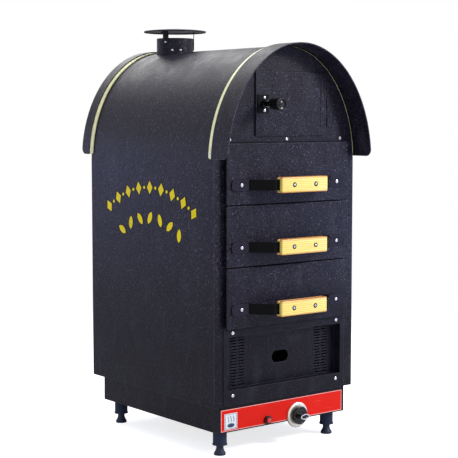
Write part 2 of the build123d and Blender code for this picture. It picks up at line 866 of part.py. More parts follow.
# ---- drawers ---------------------------------------------------------------------
drawer_names = ("lower", "middle", "upper")
front_height = drawer_pitch - drawer_reveal
grip_back_y = drawer_face_y - handle_standoff
grip_face_y = grip_back_y - handle_thickness - grip_front_thickness
for drawer, drawer_name in enumerate(drawer_names):
    low_z = drawers_z + drawer * drawer_pitch + drawer_reveal / 2
    mid_z = low_z + front_height / 2
    handle_z = mid_z - handle_drop
    half_front = drawer_front_width / 2
    pocket_inset = drawer_step + drawer_skin
    pocket = (
        -half_front + pocket_inset,
        half_front - pocket_inset,
        low_z + pocket_inset,
        low_z + front_height - pocket_inset,
    )

    with BuildPart() as drawer_front:
        with BuildSketch(upright(drawer_face_y + drawer_plate)):
            with Locations((0, mid_z)):
                RectangleRounded(drawer_front_width, front_height, drawer_corner)
        extrude(amount=drawer_plate)
        with BuildSketch(upright(drawer_back_y)):
            with Locations((0, mid_z)):
                Rectangle(drawer_front_width - 2 * drawer_step, front_height - 2 * drawer_step)
        extrude(amount=drawer_front_depth)
        fillet(drawer_front.faces().sort_by(Axis.Y)[0].outer_wire().edges(), drawer_edge)
        with BuildSketch(upright(drawer_back_y)):
            add(span(*pocket))
        extrude(amount=drawer_front_depth - drawer_skin, mode=Mode.SUBTRACT)
        with BuildSketch(upright(drawer_back_y)):
            with Locations((-handle_bolt_x, handle_z), (handle_bolt_x, handle_z)):
                Circle(bolt_radius + hole_gap)
        extrude(amount=drawer_front_depth, mode=Mode.SUBTRACT)
    save(f"{drawer_name}_drawer_front", drawer_front.part)

    tray_low_z = drawers_z + drawer * drawer_pitch + tray_lift
    with BuildPart() as drawer_tray:
        with BuildSketch(upright(drawer_back_y)):
            add(
                span(
                    pocket[0] + fit_gap,
                    pocket[1] - fit_gap,
                    pocket[2] + fit_gap,
                    pocket[3] - fit_gap,
                )
            )
        extrude(amount=thin_sheet)
        with BuildSketch(upright(tray_back_y)):
            add(span(-tray_half_width, tray_half_width, tray_low_z, tray_low_z + tray_height))
        extrude(amount=tray_back_y - drawer_back_y)
        with BuildSketch(upright(tray_back_y - thin_sheet)):
            add(
                span(
                    -tray_half_width + thin_sheet,
                    tray_half_width - thin_sheet,
                    tray_low_z + thin_sheet,
                    tray_low_z + 2 * tray_height,
                )
            )
        extrude(amount=tray_back_y - drawer_back_y - thin_sheet, mode=Mode.SUBTRACT)
        with BuildSketch(Plane.XY.offset(tray_low_z)):
            with Locations((0, (tray_back_y + drawer_back_y) / 2)):
                with GridLocations(
                    tray_slot_pitch_x, tray_slot_pitch_y, tray_slot_columns, tray_slot_rows
                ):
                    SlotOverall(tray_slot_length, tray_slot_width)
        extrude(amount=2 * thin_sheet, mode=Mode.SUBTRACT)
    save(f"{drawer_name}_drawer_tray", drawer_tray.part)

    with BuildPart() as handle_bar:
        with BuildSketch(Plane.XY.offset(handle_z - handle_height / 2)):
            with BuildLine():
                FilletPolyline(
                    (-handle_half_length, drawer_face_y),
                    (-handle_bend_x, drawer_face_y),
                    (-handle_shoulder_x, grip_back_y),
                    (handle_shoulder_x, grip_back_y),
                    (handle_bend_x, drawer_face_y),
                    (handle_half_length, drawer_face_y),
                    radius=handle_bend_radius,
                )
                offset(amount=handle_thickness, side=Side.RIGHT)
            make_face()
        extrude(amount=handle_height)
        tab_ends = handle_bar.edges().filter_by(Axis.Y)
        tab_ends = tab_ends.group_by(Axis.X)[0] + tab_ends.group_by(Axis.X)[-1]
        fillet(tab_ends, handle_tab_corner)
        with BuildSketch(upright(drawer_face_y)):
            with Locations((-handle_bolt_x, handle_z), (handle_bolt_x, handle_z)):
                Circle(bolt_radius + hole_gap)
            with Locations((-grip_screw_x, handle_z), (grip_screw_x, handle_z)):
                Circle(grip_screw_radius + hole_gap)
        extrude(amount=2 * handle_standoff, mode=Mode.SUBTRACT)
    save(f"{drawer_name}_handle_bar", handle_bar.part)

    grip_slabs = (
        (grip_back_y + grip_rear_thickness, grip_rear_thickness),
        (grip_back_y - handle_thickness, grip_front_thickness),
    )
    with BuildPart() as handle_grip:
        for slab_y, slab_thickness in grip_slabs:
            with BuildSketch(upright(slab_y)):
                with Locations((0, handle_z)):
                    RectangleRounded(grip_length, grip_height, grip_round)
            extrude(amount=slab_thickness)
        fillet(handle_grip.faces().sort_by(Axis.Y)[0].edges(), grip_end_round)
        fillet(handle_grip.faces().sort_by(Axis.Y)[-1].edges(), grip_end_round)
        with BuildSketch(upright(drawer_face_y)):
            with Locations((-grip_screw_x, handle_z), (grip_screw_x, handle_z)):
                Circle(grip_screw_radius + hole_gap)
        extrude(amount=2 * handle_standoff, mode=Mode.SUBTRACT)
    save(f"{drawer_name}_handle_grip", handle_grip.part)

    bolt_y = drawer_face_y - handle_thickness
    nut_y = drawer_face_y + drawer_skin
    screw_length = grip_back_y + grip_rear_thickness - grip_face_y
    with BuildPart() as handle_fasteners:
        for side in (-1, 1):
            bolt_seat = (side * handle_bolt_x, bolt_y, handle_z)
            with BuildSketch(seat_plane(bolt_seat, (0, 1))):
                add(screw_face(bolt_head, bolt_radius, nut_y + bolt_nut - bolt_y))
            revolve(axis=seat_axis(bolt_seat, (0, 1)))
            with BuildSketch(upright(nut_y)):
                with Locations((side * handle_bolt_x, handle_z)):
                    RegularPolygon(bolt_nut_width / 2, 6, major_radius=False)
            extrude(amount=-bolt_nut)
            screw_seat = (side * grip_screw_x, grip_face_y, handle_z)
            with BuildSketch(seat_plane(screw_seat, (0, 1))):
                add(screw_face(grip_screw_head, grip_screw_radius, screw_length))
            revolve(axis=seat_axis(screw_seat, (0, 1)))
    save(f"{drawer_name}_handle_fasteners", handle_fasteners.part)

# ---- warming cabinet door --------------------------------------------------------
knob_z = arch_z + knob_rise
door_mid_x = (door_left + door_right) / 2
door_mid_z = door_z + door_height / 2
knob_screw_places = [(knob_x, knob_z + side * knob_screw_rise) for side in (-1, 1)]
with BuildPart() as warming_door:
    with BuildSketch(upright(door_back_y)):
        with Locations((door_mid_x, door_mid_z)):
            RectangleRounded(door_right - door_left, door_height, drawer_edge)
        with Locations((knob_x, knob_z)):
            Circle(knob_shaft_radius + running_gap, mode=Mode.SUBTRACT)
        add(hole_face(knob_screw_places, grip_screw_radius), mode=Mode.SUBTRACT)
    extrude(amount=door_thickness)
    rivet_seat = (door_rivet[0], door_face_y, door_z + door_rivet[1])
    with BuildSketch(seat_plane(rivet_seat, (0, 1))):
        add(screw_face(nail_head, nail_shank, door_thickness / 2))
    revolve(axis=seat_axis(rivet_seat, (0, 1)))
save("warming_door", warming_door.part)

plate_left = door_left + 2 * drawer_edge
plate_right = plate_left + knob_plate_width + knob_plate_left
with BuildPart() as knob_plate:
    with BuildSketch(upright(door_face_y)):
        with Locations(((plate_left + plate_right) / 2, knob_z)):
            RectangleRounded(plate_right - plate_left, knob_plate_height, drawer_corner)
        with Locations((knob_x, knob_z)):
            Circle(knob_shaft_radius + running_gap, mode=Mode.SUBTRACT)
        add(hole_face(knob_screw_places, grip_screw_radius), mode=Mode.SUBTRACT)
    extrude(amount=knob_plate_sheet)
save("knob_plate", knob_plate.part)

plate_face_y = door_face_y - knob_plate_sheet
with BuildPart() as knob_plate_screws:
    for screw_x, screw_z in knob_screw_places:
        seat = (screw_x, plate_face_y, screw_z)
        with BuildSketch(seat_plane(seat, (0, 1))):
            add(screw_face(grip_screw_head, grip_screw_radius, knob_plate_sheet + door_thickness / 2))
        revolve(axis=seat_axis(seat, (0, 1)))
save("knob_plate_screws", knob_plate_screws.part)

knob_end_y = front_y - knob_reach
knob_foot_y = plate_face_y - seat_gap
latch_front_y = liner_front_y + seat_gap
knob_seat = (knob_x, 0, knob_z)
knob_length = knob_foot_y - knob_end_y
knob_collar_y = knob_foot_y - knob_length * knob_collar_part
knob_neck_y = knob_foot_y - knob_length * knob_neck_part
knob_flare_y = knob_foot_y - knob_length * knob_flare_part
knob_swell_y = knob_foot_y - knob_length * knob_swell_part
knob_dome_y = knob_foot_y - knob_length * knob_dome_part
with BuildPart() as door_knob:
    with BuildSketch(seat_plane(knob_seat, (0, 1))):
        with BuildLine():
            Polyline(
                (0, knob_end_y),
                (0, latch_front_y + latch_thickness),
                (knob_shaft_radius, latch_front_y + latch_thickness),
                (knob_shaft_radius, knob_foot_y),
                (knob_collar_radius, knob_foot_y),
                (knob_collar_radius, knob_collar_y),
                (knob_neck_radius, knob_neck_y),
            )
            Spline(
                (knob_neck_radius, knob_neck_y),
                (knob_neck_radius + knob_neck_flare, knob_flare_y),
                (knob_radius - knob_edge_round, knob_swell_y),
                (knob_radius, knob_dome_y),
            )
            ThreePointArc(
                (knob_radius, knob_dome_y),
                dome_middle(knob_radius, knob_dome_y, knob_end_y),
                (0, knob_end_y),
            )
        make_face()
    revolve(axis=seat_axis(knob_seat, (0, 1)))
    with BuildSketch(upright(latch_front_y)):
        add(
            span(
                knob_x - latch_width / 2,
                knob_x + latch_width / 2,
                knob_z - latch_length,
                knob_z + latch_width / 2,
            )
        )
    extrude(amount=-latch_thickness)
save("door_knob", door_knob.part)

hinge_x = door_right + hinge_edge + hinge_radius
hinge_y = tympanum_face_y - hinge_leaf_sheet - hinge_radius
hinge_low_z = door_mid_z - hinge_knuckles * hinge_knuckle / 2
hinge_high_z = hinge_low_z + hinge_knuckles * hinge_knuckle
hinge_middle = Plane((hinge_x, hinge_y, hinge_low_z))


def knuckle_zone(index):
    """Lowest and highest point of one hinge knuckle, with the gap to its neighbours."""
    low = hinge_low_z + index * hinge_knuckle
    return low + fit_gap, low + hinge_knuckle - fit_gap


with BuildPart() as frame_hinge_leaf:
    with BuildSketch(upright(tympanum_face_y)):
        add(span(hinge_x, hinge_x + hinge_leaf_width, hinge_low_z, hinge_high_z))
    extrude(amount=hinge_leaf_sheet)
    for index in range(0, hinge_knuckles, 2):
        low, high = knuckle_zone(index)
        with BuildSketch(Plane((hinge_x, hinge_y, low))):
            Circle(hinge_radius)
            with Locations((hinge_radius / 2, hinge_radius / 2 + hinge_leaf_sheet / 2)):
                Rectangle(hinge_radius, hinge_radius + hinge_leaf_sheet)
        extrude(amount=high - low)
    with BuildSketch(hinge_middle):
        Circle(hinge_pin_radius)
    extrude(amount=hinge_high_z - hinge_low_z)
save("frame_hinge_leaf", frame_hinge_leaf.part)

with BuildPart() as door_hinge_leaf:
    leaf_left = door_right - hinge_leaf_width
    with BuildSketch(upright(door_face_y)):
        add(span(leaf_left, door_right, hinge_low_z, hinge_high_z))
    extrude(amount=hinge_leaf_sheet)
    for index in range(1, hinge_knuckles, 2):
        low, high = knuckle_zone(index)
        leaf_y = door_face_y - hinge_leaf_sheet / 2
        with BuildSketch(Plane((hinge_x, hinge_y, low))):
            Circle(hinge_radius)
            arm = hinge_x - leaf_left
            with Locations((-arm / 2, leaf_y - hinge_y)):
                Rectangle(arm, hinge_leaf_sheet)
            Circle(hinge_pin_radius + running_gap, mode=Mode.SUBTRACT)
        extrude(amount=high - low)
save("door_hinge_leaf", door_hinge_leaf.part)

# ---- gas controls ----------------------------------------------------------------
with BuildPart() as control_label:
    with BuildSketch(upright(plinth_front_y)):
        with Locations((0, plinth_z + label_rise)):
            RectangleRounded(label_width, label_height, drawer_edge)
        with Locations((gas_x, control_z)):
            Circle(stem_hole_radius, mode=Mode.SUBTRACT)
        with Locations((piezo_x, control_z)):
            Circle(piezo_barrel_radius + fit_gap, mode=Mode.SUBTRACT)
    extrude(amount=label_sheet)
save("control_label", control_label.part)

with BuildPart() as badge_plate:
    with BuildSketch(upright(label_face_y)):
        with Locations((badge_x, plinth_z + badge_rise)):
            Rectangle(badge_size, badge_size)
    extrude(amount=label_sheet)
save("badge_plate", badge_plate.part)

with BuildPart() as knob_bezel:
    with BuildSketch(upright(label_face_y)):
        with Locations((gas_x, control_z)):
            Circle(bezel_radius)
            Circle(stem_hole_radius, mode=Mode.SUBTRACT)
    extrude(amount=bezel_thickness)
    fillet(knob_bezel.faces().sort_by(Axis.Y)[0].edges().sort_by(SortBy.RADIUS)[-1], bezel_edge)
save("knob_bezel", knob_bezel.part)

valve_back_y = valve_front_y + valve_boss_length + valve_length
with BuildPart() as gas_valve:
    with BuildSketch(upright(valve_back_y)):
        with Locations((gas_x, control_z)):
            RectangleRounded(valve_width, valve_height, drawer_corner)
    extrude(amount=valve_length)
    with BuildSketch(upright(valve_back_y - valve_length)):
        with Locations((gas_x, control_z)):
            Circle(valve_boss_radius)
    extrude(amount=valve_boss_length)
    with BuildSketch(upright(valve_front_y)):
        with Locations((gas_x, control_z)):
            Circle(stem_radius + running_gap)
    extrude(amount=-stem_inner_length - 2 * gas_knob_push, mode=Mode.SUBTRACT)
save("gas_valve", gas_valve.part)

stem_back_y = valve_front_y + stem_inner_length
with BuildPart() as valve_stem:
    with BuildSketch(upright(stem_back_y)):
        with Locations((gas_x, control_z)):
            Circle(stem_radius)
    extrude(amount=stem_back_y - stem_tip_y)
save("valve_stem", valve_stem.part)

with BuildPart() as gas_knob:
    with BuildSketch(upright(gas_knob_back_y)):
        with Locations((gas_x, control_z)):
            Circle(gas_knob_radius)
    extrude(amount=gas_knob_disc)
    with BuildSketch(upright(gas_knob_back_y - gas_knob_disc)):
        with Locations((gas_x, control_z)):
            SlotOverall(gas_knob_blade_length, gas_knob_blade_width)
    extrude(amount=gas_knob_blade, taper=gas_blade_draft)
    with BuildSketch(upright(gas_knob_back_y)):
        with Locations((gas_x, control_z)):
            Circle(stem_radius + running_gap)
    extrude(amount=stem_grip + seat_gap, mode=Mode.SUBTRACT)
save("gas_knob", gas_knob.part)

piezo_seat = (piezo_x, label_face_y, control_z)
piezo_bore = piezo_button_radius + running_gap
piezo_back = piezo_barrel_length - thin_sheet
with BuildPart() as piezo_collar:
    with BuildSketch(seat_plane(piezo_seat, (0, 1))):
        add(
            lathe_face(
                (piezo_bore, -piezo_collar_length),
                (piezo_collar_radius, -piezo_collar_length),
                (piezo_collar_radius, 0),
                (piezo_barrel_radius, 0),
                (piezo_barrel_radius, piezo_barrel_length),
                (0, piezo_barrel_length),
                (0, piezo_back),
                (piezo_bore, piezo_back),
            )
        )
    revolve(axis=seat_axis(piezo_seat, (0, 1)))
save("piezo_collar", piezo_collar.part)

button_tip = -piezo_collar_length - piezo_button_reach
button_edge_y = button_tip + button_dome
with BuildPart() as piezo_button:
    with BuildSketch(seat_plane(piezo_seat, (0, 1))):
        with BuildLine():
            Polyline(
                (0, button_tip),
                (0, piezo_back - piezo_travel - seat_gap),
                (piezo_button_radius, piezo_back - piezo_travel - seat_gap),
                (piezo_button_radius, button_edge_y),
            )
            ThreePointArc(
                (piezo_button_radius, button_edge_y),
                dome_middle(piezo_button_radius, button_edge_y, button_tip),
                (0, button_tip),
            )
        make_face()
    revolve(axis=seat_axis(piezo_seat, (0, 1)))
save("piezo_button", piezo_button.part)

inlet_face_y = plinth_back_y + inlet_length
hex_y = plinth_back_y - sheet - fit_gap
with BuildPart() as gas_inlet:
    with BuildSketch(upright(inlet_face_y)):
        with Locations((gas_x, control_z)):
            Circle(inlet_radius)
    extrude(amount=inlet_face_y - hex_y + inlet_hex_length)
    with BuildSketch(upright(hex_y)):
        with Locations((gas_x, control_z)):
            RegularPolygon(inlet_hex / 2, 6, major_radius=False)
    extrude(amount=inlet_hex_length)
    with BuildSketch(upright(inlet_face_y)):
        with Locations((gas_x, control_z)):
            Circle(inlet_bore)
    extrude(amount=inlet_face_y - hex_y, mode=Mode.SUBTRACT)
save("gas_inlet", gas_inlet.part)

pipe_back_y = hex_y - inlet_hex_length
with BuildPart() as supply_pipe:
    with BuildSketch(upright(pipe_back_y)):
        with Locations((gas_x, control_z)):
            Circle(pipe_radius)
    extrude(amount=pipe_back_y - valve_back_y)
save("supply_pipe", supply_pipe.part)

feed_y = valve_front_y + valve_boss_length + valve_length / 2
feed_low_z = control_z + valve_height / 2
feed_end_y = burner_ends[0]
with BuildPart() as burner_feed:
    with BuildLine() as feed_route:
        FilletPolyline(
            (gas_x, feed_y, feed_low_z),
            (gas_x, feed_y, burner_z),
            (0, feed_y, burner_z),
            (0, feed_end_y, burner_z),
            radius=feed_bend,
        )
    with BuildSketch(Plane((gas_x, feed_y, feed_low_z))):
        Circle(feed_radius)
    sweep(path=feed_route.line)
save("burner_feed", burner_feed.part)
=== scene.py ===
"""Finishes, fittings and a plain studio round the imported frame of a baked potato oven."""

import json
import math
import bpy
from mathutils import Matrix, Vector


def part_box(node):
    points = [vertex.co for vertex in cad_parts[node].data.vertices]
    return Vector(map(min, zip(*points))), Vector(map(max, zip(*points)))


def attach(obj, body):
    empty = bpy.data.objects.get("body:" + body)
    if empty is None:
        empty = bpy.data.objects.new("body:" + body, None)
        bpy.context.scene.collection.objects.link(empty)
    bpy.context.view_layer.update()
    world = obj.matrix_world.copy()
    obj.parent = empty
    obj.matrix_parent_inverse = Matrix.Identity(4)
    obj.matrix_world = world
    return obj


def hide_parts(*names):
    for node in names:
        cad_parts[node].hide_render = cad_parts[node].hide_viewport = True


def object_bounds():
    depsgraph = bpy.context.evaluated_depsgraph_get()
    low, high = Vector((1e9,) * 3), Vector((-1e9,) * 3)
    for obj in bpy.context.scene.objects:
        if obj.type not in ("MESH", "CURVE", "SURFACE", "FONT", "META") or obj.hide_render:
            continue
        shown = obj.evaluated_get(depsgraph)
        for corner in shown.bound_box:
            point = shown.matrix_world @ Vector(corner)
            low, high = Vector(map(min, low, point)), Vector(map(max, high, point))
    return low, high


bl_info = {
    "name": "Baked Potato Oven Dressing",
    "version": (1, 0, 0),
    "blender": (4, 5, 0),
    "location": "3D View > Sidebar > Potato Oven",
    "description": "Finishes, fittings and a plain studio for a gas baked potato oven",
    "category": "Object",
}

import bpy
from mathutils import Matrix, Vector

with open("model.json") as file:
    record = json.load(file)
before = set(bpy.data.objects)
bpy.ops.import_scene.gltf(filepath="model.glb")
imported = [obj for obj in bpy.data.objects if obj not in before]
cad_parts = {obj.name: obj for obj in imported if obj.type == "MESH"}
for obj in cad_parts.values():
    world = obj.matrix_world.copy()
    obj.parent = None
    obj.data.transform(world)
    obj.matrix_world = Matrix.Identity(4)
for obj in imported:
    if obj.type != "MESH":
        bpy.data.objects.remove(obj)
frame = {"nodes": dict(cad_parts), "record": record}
cad_box = [list(corner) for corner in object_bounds()]
cad = frame["nodes"]
MM = 0.001
DRAWERS = ("lower", "middle", "upper")
OUT_FRONT = (0, -1, 0)
OUT_BACK = (0, 1, 0)
OUT_LEFT = (-1, 0, 0)
OUT_RIGHT = (1, 0, 0)
UP = (0, 0, 1)
EVEN = (1, 1, 1)
WHITE = (1.0, 1.0, 1.0)
SPECULAR, COAT, COAT_ROUGHNESS = "Specular IOR Level", "Coat Weight", "Coat Roughness"
BAR_THICK = 4 * MM
GRIP_SCREW_X = 38 * MM
KNOB_X = -84 * MM
NEAR = 0.01 * MM
SMOOTH_ANGLE = math.radians(32)


def shade(*screen):
    """A colour as a screen shows it, 0 to 255 a channel, made linear."""
    low_end = 10
    return tuple(
        ((c / 255 + 0.055) / 1.055) ** 2.4 if c > low_end else c / 255 / 12.92 for c in screen
    )


# ---- sizes and colours a user would change ---------------------------------------
def colour(name, description, *screen):
    """A colour property with its default given as screen values."""
    return bpy.props.FloatVectorProperty(
        name=name,
        description=description,
        subtype="COLOR",
        size=3,
        min=0.0,
        max=1.0,
        default=shade(*screen),
    )


def length(name, description, default):
    """A length property, in metres, with its default given in millimetres."""
    return bpy.props.FloatProperty(
        name=name,
        description=description,
        subtype="DISTANCE",
        unit="LENGTH",
        min=0.0,
        precision=4,
        default=default * MM,
    )


class OvenColours(bpy.types.PropertyGroup):
    """Colours of the oven's paints, metals, wood and labels."""

    paint_dark: colour("Paint hollows", "Dark of the hammered casing paint", 10, 9, 14)
    paint_light: colour("Paint crests", "Light of the hammered casing paint", 46, 43, 58)
    # this light tone lies in dust and along sheet edges: partly thin, worn paint, partly a painted
    # highlight along the edges
    paint_wear_and_sheen: colour("Paint worn", "Thin paint along sheet edges", 108, 112, 128)
    # painted shade: this near-black on the handle arms stands for the shade they turn into, away
    # from the light
    arm_painted_shade: colour("Handle black", "Paint of the handle arms", 6, 6, 9)
    leg_blue: colour("Leg paint", "Blue-black paint of the legs", 40, 48, 68)
    foot_black: colour("Foot nylon", "Nylon of the levelling feet", 34, 42, 60)
    sheet_steel: colour("Oven sheet", "Bare sheet steel inside the oven", 168, 166, 163)
    baked_brown: colour("Baked stain", "Stain that heat leaves on bare sheet", 96, 70, 44)
    zinc: colour("Zinc", "Plated screws and studs", 214, 215, 219)
    trim_cream: colour("Trim cream", "Strips round the arch ends", 249, 243, 186)
    label_red: colour("Label red", "Ground of the control label", 226, 28, 12)
    label_line: colour("Label line", "Border line of the control label", 236, 190, 182)
    badge_pale: colour("Badge", "Ground of the square badge", 226, 232, 236)
    badge_ink: colour("Badge ink", "Lines on the square badge", 58, 74, 104)
    dial_cream: colour("Dial ring", "Satin ring round the gas knob", 249, 244, 233)
    bakelite: colour("Bakelite", "Moulded knobs", 17, 16, 18)
    button_red: colour("Button", "Igniter button", 214, 34, 26)
    ornament: colour("Ornament", "Leaves and lozenges on the sides", 252, 226, 8)
    # this dark is print on the ornament's edges and the dial ticks, and painted shade on the handle
    # washers and cups, the strips' edge lines and the front strip's forward faces
    outline: colour("Ornament outline", "Dark edge of the side ornament", 14, 13, 12)
    wood_pale: colour("Wood", "Face of the handle grips", 246, 226, 128)
    wood_grain: colour("Wood grain", "Darker year lines of the grips", 232, 201, 96)
    wood_rim_tone: colour("Wood rim", "Upper and lower rims of the grips", 196, 112, 40)
    brass: colour("Brass", "Gas valve and inlet", 203, 172, 98)
    copper: colour("Copper", "Gas pipes", 202, 124, 88)


class OvenSizes(bpy.types.PropertyGroup):
    """Sizes of the fittings and ornaments."""

    paint_cell: length("Paint cell", "Width of one dimple of the hammered paint", 3.6)
    screw_head: length("Casing screw", "Head radius of the casing screws", 5.0)
    bolt_head: length("Handle bolt", "Head radius of the handle bolts", 4.968)
    grip_head: length("Grip screw", "Head radius of the grip screws", 3.44)
    plate_head: length("Plate screw", "Head radius of the knob plate's screws", 4.3)
    nail_head: length("Trim nail", "Head radius of the trim nails", 3.0)
    grip_round: length("Grip rounding", "Radius round the grips' edges", 3.4)
    trim_thick: length("Trim thickness", "Thickness of the arch strips", 3.8)
    line_wide: length("Label line", "Width of the label's border line", 1.5)
    lozenge_tall: length("Lozenge", "Height of a lozenge on the sides", 46.0)
    leaf_long: length("Leaf", "Length of a leaf on the sides", 46.0)
    floor_wide: length("Floor", "Radius of the studio floor", 9000.0)


# ---- building finishes from nodes -------------------------------------------------
def finish(name):
    """A new material, its node tree and its shader."""
    material = bpy.data.materials.new(name)
    material.use_nodes = True
    tree = material.node_tree
    return material, tree, tree.nodes["Principled BSDF"]


def pattern(tree, kind, scale, stretch=EVEN, detail=2.0, swirl=0.0):
    """Noise, cells or bands laid over the piece's own coordinates, as one value."""
    coords = tree.nodes.new("ShaderNodeTexCoord")
    mapping = tree.nodes.new("ShaderNodeMapping")
    mapping.inputs["Scale"].default_value = stretch
    tree.links.new(coords.outputs["Object"], mapping.inputs["Vector"])
    if kind == "cells":
        texture = tree.nodes.new("ShaderNodeTexVoronoi")
        texture.feature = "SMOOTH_F1"
    else:
        texture = tree.nodes.new("ShaderNodeTexWave" if kind == "bands" else "ShaderNodeTexNoise")
        texture.inputs["Detail"].default_value = detail
        texture.inputs["Distortion"].default_value = swirl
    if kind == "bands":
        texture.bands_direction = "Z"
    texture.inputs["Scale"].default_value = scale
    tree.links.new(mapping.outputs["Vector"], texture.inputs["Vector"])
    return texture.outputs["Distance" if kind == "cells" else "Fac"]


def spread(tree, value, low, high, start=0.3, end=0.7):
    """The part of a value between start and end, spread from low to high."""
    node = tree.nodes.new("ShaderNodeMapRange")
    tree.links.new(value, node.inputs["Value"])
    limits = {"From Min": start, "From Max": end, "To Min": low, "To Max": high}
    for socket, number in limits.items():
        node.inputs[socket].default_value = number
    return node.outputs["Result"]


def place_along(tree, axis):
    """A point's place along one axis of the piece's own coordinates."""
    coords = tree.nodes.new("ShaderNodeTexCoord")
    parts = tree.nodes.new("ShaderNodeSeparateXYZ")
    tree.links.new(coords.outputs["Object"], parts.inputs["Vector"])
    return parts.outputs[axis]


def reckon(tree, operation, first, second=None):
    """One step of arithmetic on a value."""
    node = tree.nodes.new("ShaderNodeMath")
    node.operation = operation
    for index, term in enumerate((first, second)):
        if isinstance(term, (int, float)):
            node.inputs[index].default_value = term
        elif term is not None:
            tree.links.new(term, node.inputs[index])
    return node.outputs["Value"]


def tones(tree, value, *stops):
    """A value turned to colours through stops of position and colour."""
    node = tree.nodes.new("ShaderNodeValToRGB")
    tree.links.new(value, node.inputs["Fac"])
    marks = node.color_ramp.elements
    while len(marks) < len(stops):
        marks.new(0.5)
    for mark, (position, tone) in zip(marks, stops):
        mark.position = position
        mark.color = (*tone, 1.0)
    return node.outputs["Color"]


def scaled(tone, factor, lift=0.0):
    """A colour made darker or lighter by a factor and a lift."""
    return tuple(min(1.0, factor * c + lift) for c in tone)


def laid_over(tree, factor, under, over, how="MIX"):
    """One colour laid over another by a factor."""
    node = tree.nodes.new("ShaderNodeMix")
    node.data_type = "RGBA"
    node.blend_type = how
    colour_inputs = [socket for socket in node.inputs if socket.type == "RGBA"]
    for socket, tone in zip(colour_inputs, (under, over)):
        if isinstance(tone, bpy.types.NodeSocket):
            tree.links.new(tone, socket)
        else:
            socket.default_value = (*tone, 1.0)
    if isinstance(factor, (int, float)):
        node.inputs["Factor"].default_value = factor
    else:
        tree.links.new(factor, node.inputs["Factor"])
    return [socket for socket in node.outputs if socket.type == "RGBA"][0]


def rounded_normal(tree, radius):
    """The surface direction with its sharp edges eased over a radius."""
    node = tree.nodes.new("ShaderNodeBevel")
    node.samples = 6
    node.inputs["Radius"].default_value = radius
    return node.outputs["Normal"]


def edge_wear_and_sheen(tree, radius, amount):
    """How near a sharp edge a point is, broken up by noise, from 0 to amount; it lays the edges'
    wear and their painted highlight.
    """
    eased = rounded_normal(tree, radius)
    surface = tree.nodes.new("ShaderNodeNewGeometry")
    match = tree.nodes.new("ShaderNodeVectorMath")
    match.operation = "DOT_PRODUCT"
    tree.links.new(eased, match.inputs[0])
    tree.links.new(surface.outputs["True Normal"], match.inputs[1])
    near = spread(tree, match.outputs["Value"], 1.0, 0.0, start=0.8, end=0.97)
    worn_and_lit = spread(tree, pattern(tree, "noise", 70, detail=4), 0.2, amount, start=0.35, end=0.65)
    return reckon(tree, "MULTIPLY", near, worn_and_lit)


def relief(tree, shader, *layers, rounding=0.0):
    """Bump layers of value, strength and depth, over edges eased by rounding."""
    normal = rounded_normal(tree, rounding) if rounding else None
    for value, strength, depth in layers:
        bump = tree.nodes.new("ShaderNodeBump")
        bump.inputs["Strength"].default_value = strength
        bump.inputs["Distance"].default_value = depth
        tree.links.new(value, bump.inputs["Height"])
        if normal:
            tree.links.new(normal, bump.inputs["Normal"])
        normal = bump.outputs["Normal"]
    tree.links.new(normal, shader.inputs["Normal"])


def surfaced(tree, shader, tone, roughness, levels):
    """Links a shader's tone and roughness and sets its constant levels by their names."""
    tree.links.new(tone, shader.inputs["Base Color"])
    tree.links.new(roughness, shader.inputs["Roughness"])
    for name, level in levels.items():
        shader.inputs[name].default_value = level


def hammer_paint(name, dark, light, wear_and_sheen, cell, edge=1.3 * MM, wear_and_sheen_amount=0.75):
    """Hammered stove paint: dimples, drifts, dust, edges lighter with wear and a painted highlight,
    and painted shade near the floor.
    """
    material, tree, shader = finish(name)
    dimples = pattern(tree, "noise", 1 / cell, detail=1.5, swirl=0.6)
    crests = pattern(tree, "cells", 0.8 / cell)
    drifts = pattern(tree, "noise", 4.5, detail=3)
    dust = pattern(tree, "noise", 26, stretch=(1, 1, 0.35), detail=6)
    # painted highlight: the brightest speckles are painted glints, the sparkle that light makes on
    # the dimples
    painted_glint = scaled(light, 3.6, 0.02)
    speckle = tones(
        tree, dimples, (0.38, dark), (0.5, light), (0.6, dark), (0.63, light), (0.72, painted_glint)
    )
    drifting = tones(tree, drifts, (0.3, (0.72, 0.72, 0.74)), (0.7, WHITE))
    tone = laid_over(tree, 1.0, speckle, drifting, "MULTIPLY")
    # painted shade: the paint is darkened towards the floor, down to 0.38, where less light reaches
    # the lower body
    height = spread(tree, place_along(tree, "Z"), 0.0, 1.0, start=0.28, end=0.5)
    painted_floor_shade = tones(tree, height, (0.0, (0.38, 0.35, 0.38)), (1.0, WHITE))
    tone = laid_over(tree, 1.0, tone, painted_floor_shade, "MULTIPLY")
    dusty = laid_over(tree, spread(tree, dust, 0.0, 0.08, 0.5, 0.8), tone, wear_and_sheen)
    # edges laid lighter: worn paint, and a painted highlight along them
    worn_and_lit = laid_over(tree, edge_wear_and_sheen(tree, edge, wear_and_sheen_amount), dusty, wear_and_sheen)
    surfaced(tree, shader, worn_and_lit, spread(tree, dust, 0.32, 0.46), {SPECULAR: 0.12})
    relief(tree, shader, (dimples, 0.9, 0.7 * MM), (crests, 0.4, 0.5 * MM), rounding=edge)
    return material


def smooth_paint(name, tone, wear_and_sheen, gloss):
    """Smooth paint with a fine orange peel, faint smears, and edges lighter with wear and a painted
    highlight.
    """
    material, tree, shader = finish(name)
    smears = pattern(tree, "noise", 14, stretch=(1, 1, 0.4), detail=5)
    peel = pattern(tree, "noise", 900, detail=2)
    shaded = tones(tree, smears, (0.3, scaled(tone, 0.82)), (0.7, scaled(tone, 1.12, 0.004)))
    # edges laid lighter: worn paint, and a painted highlight along them
    worn_and_lit = laid_over(tree, edge_wear_and_sheen(tree, 0.9 * MM, 0.5), shaded, wear_and_sheen)
    rough = spread(tree, smears, gloss - 0.07, gloss + 0.12)
    surfaced(tree, shader, worn_and_lit, rough, {SPECULAR: 0.1})
    relief(tree, shader, (peel, 0.12, 0.15 * MM), rounding=0.7 * MM)
    return material


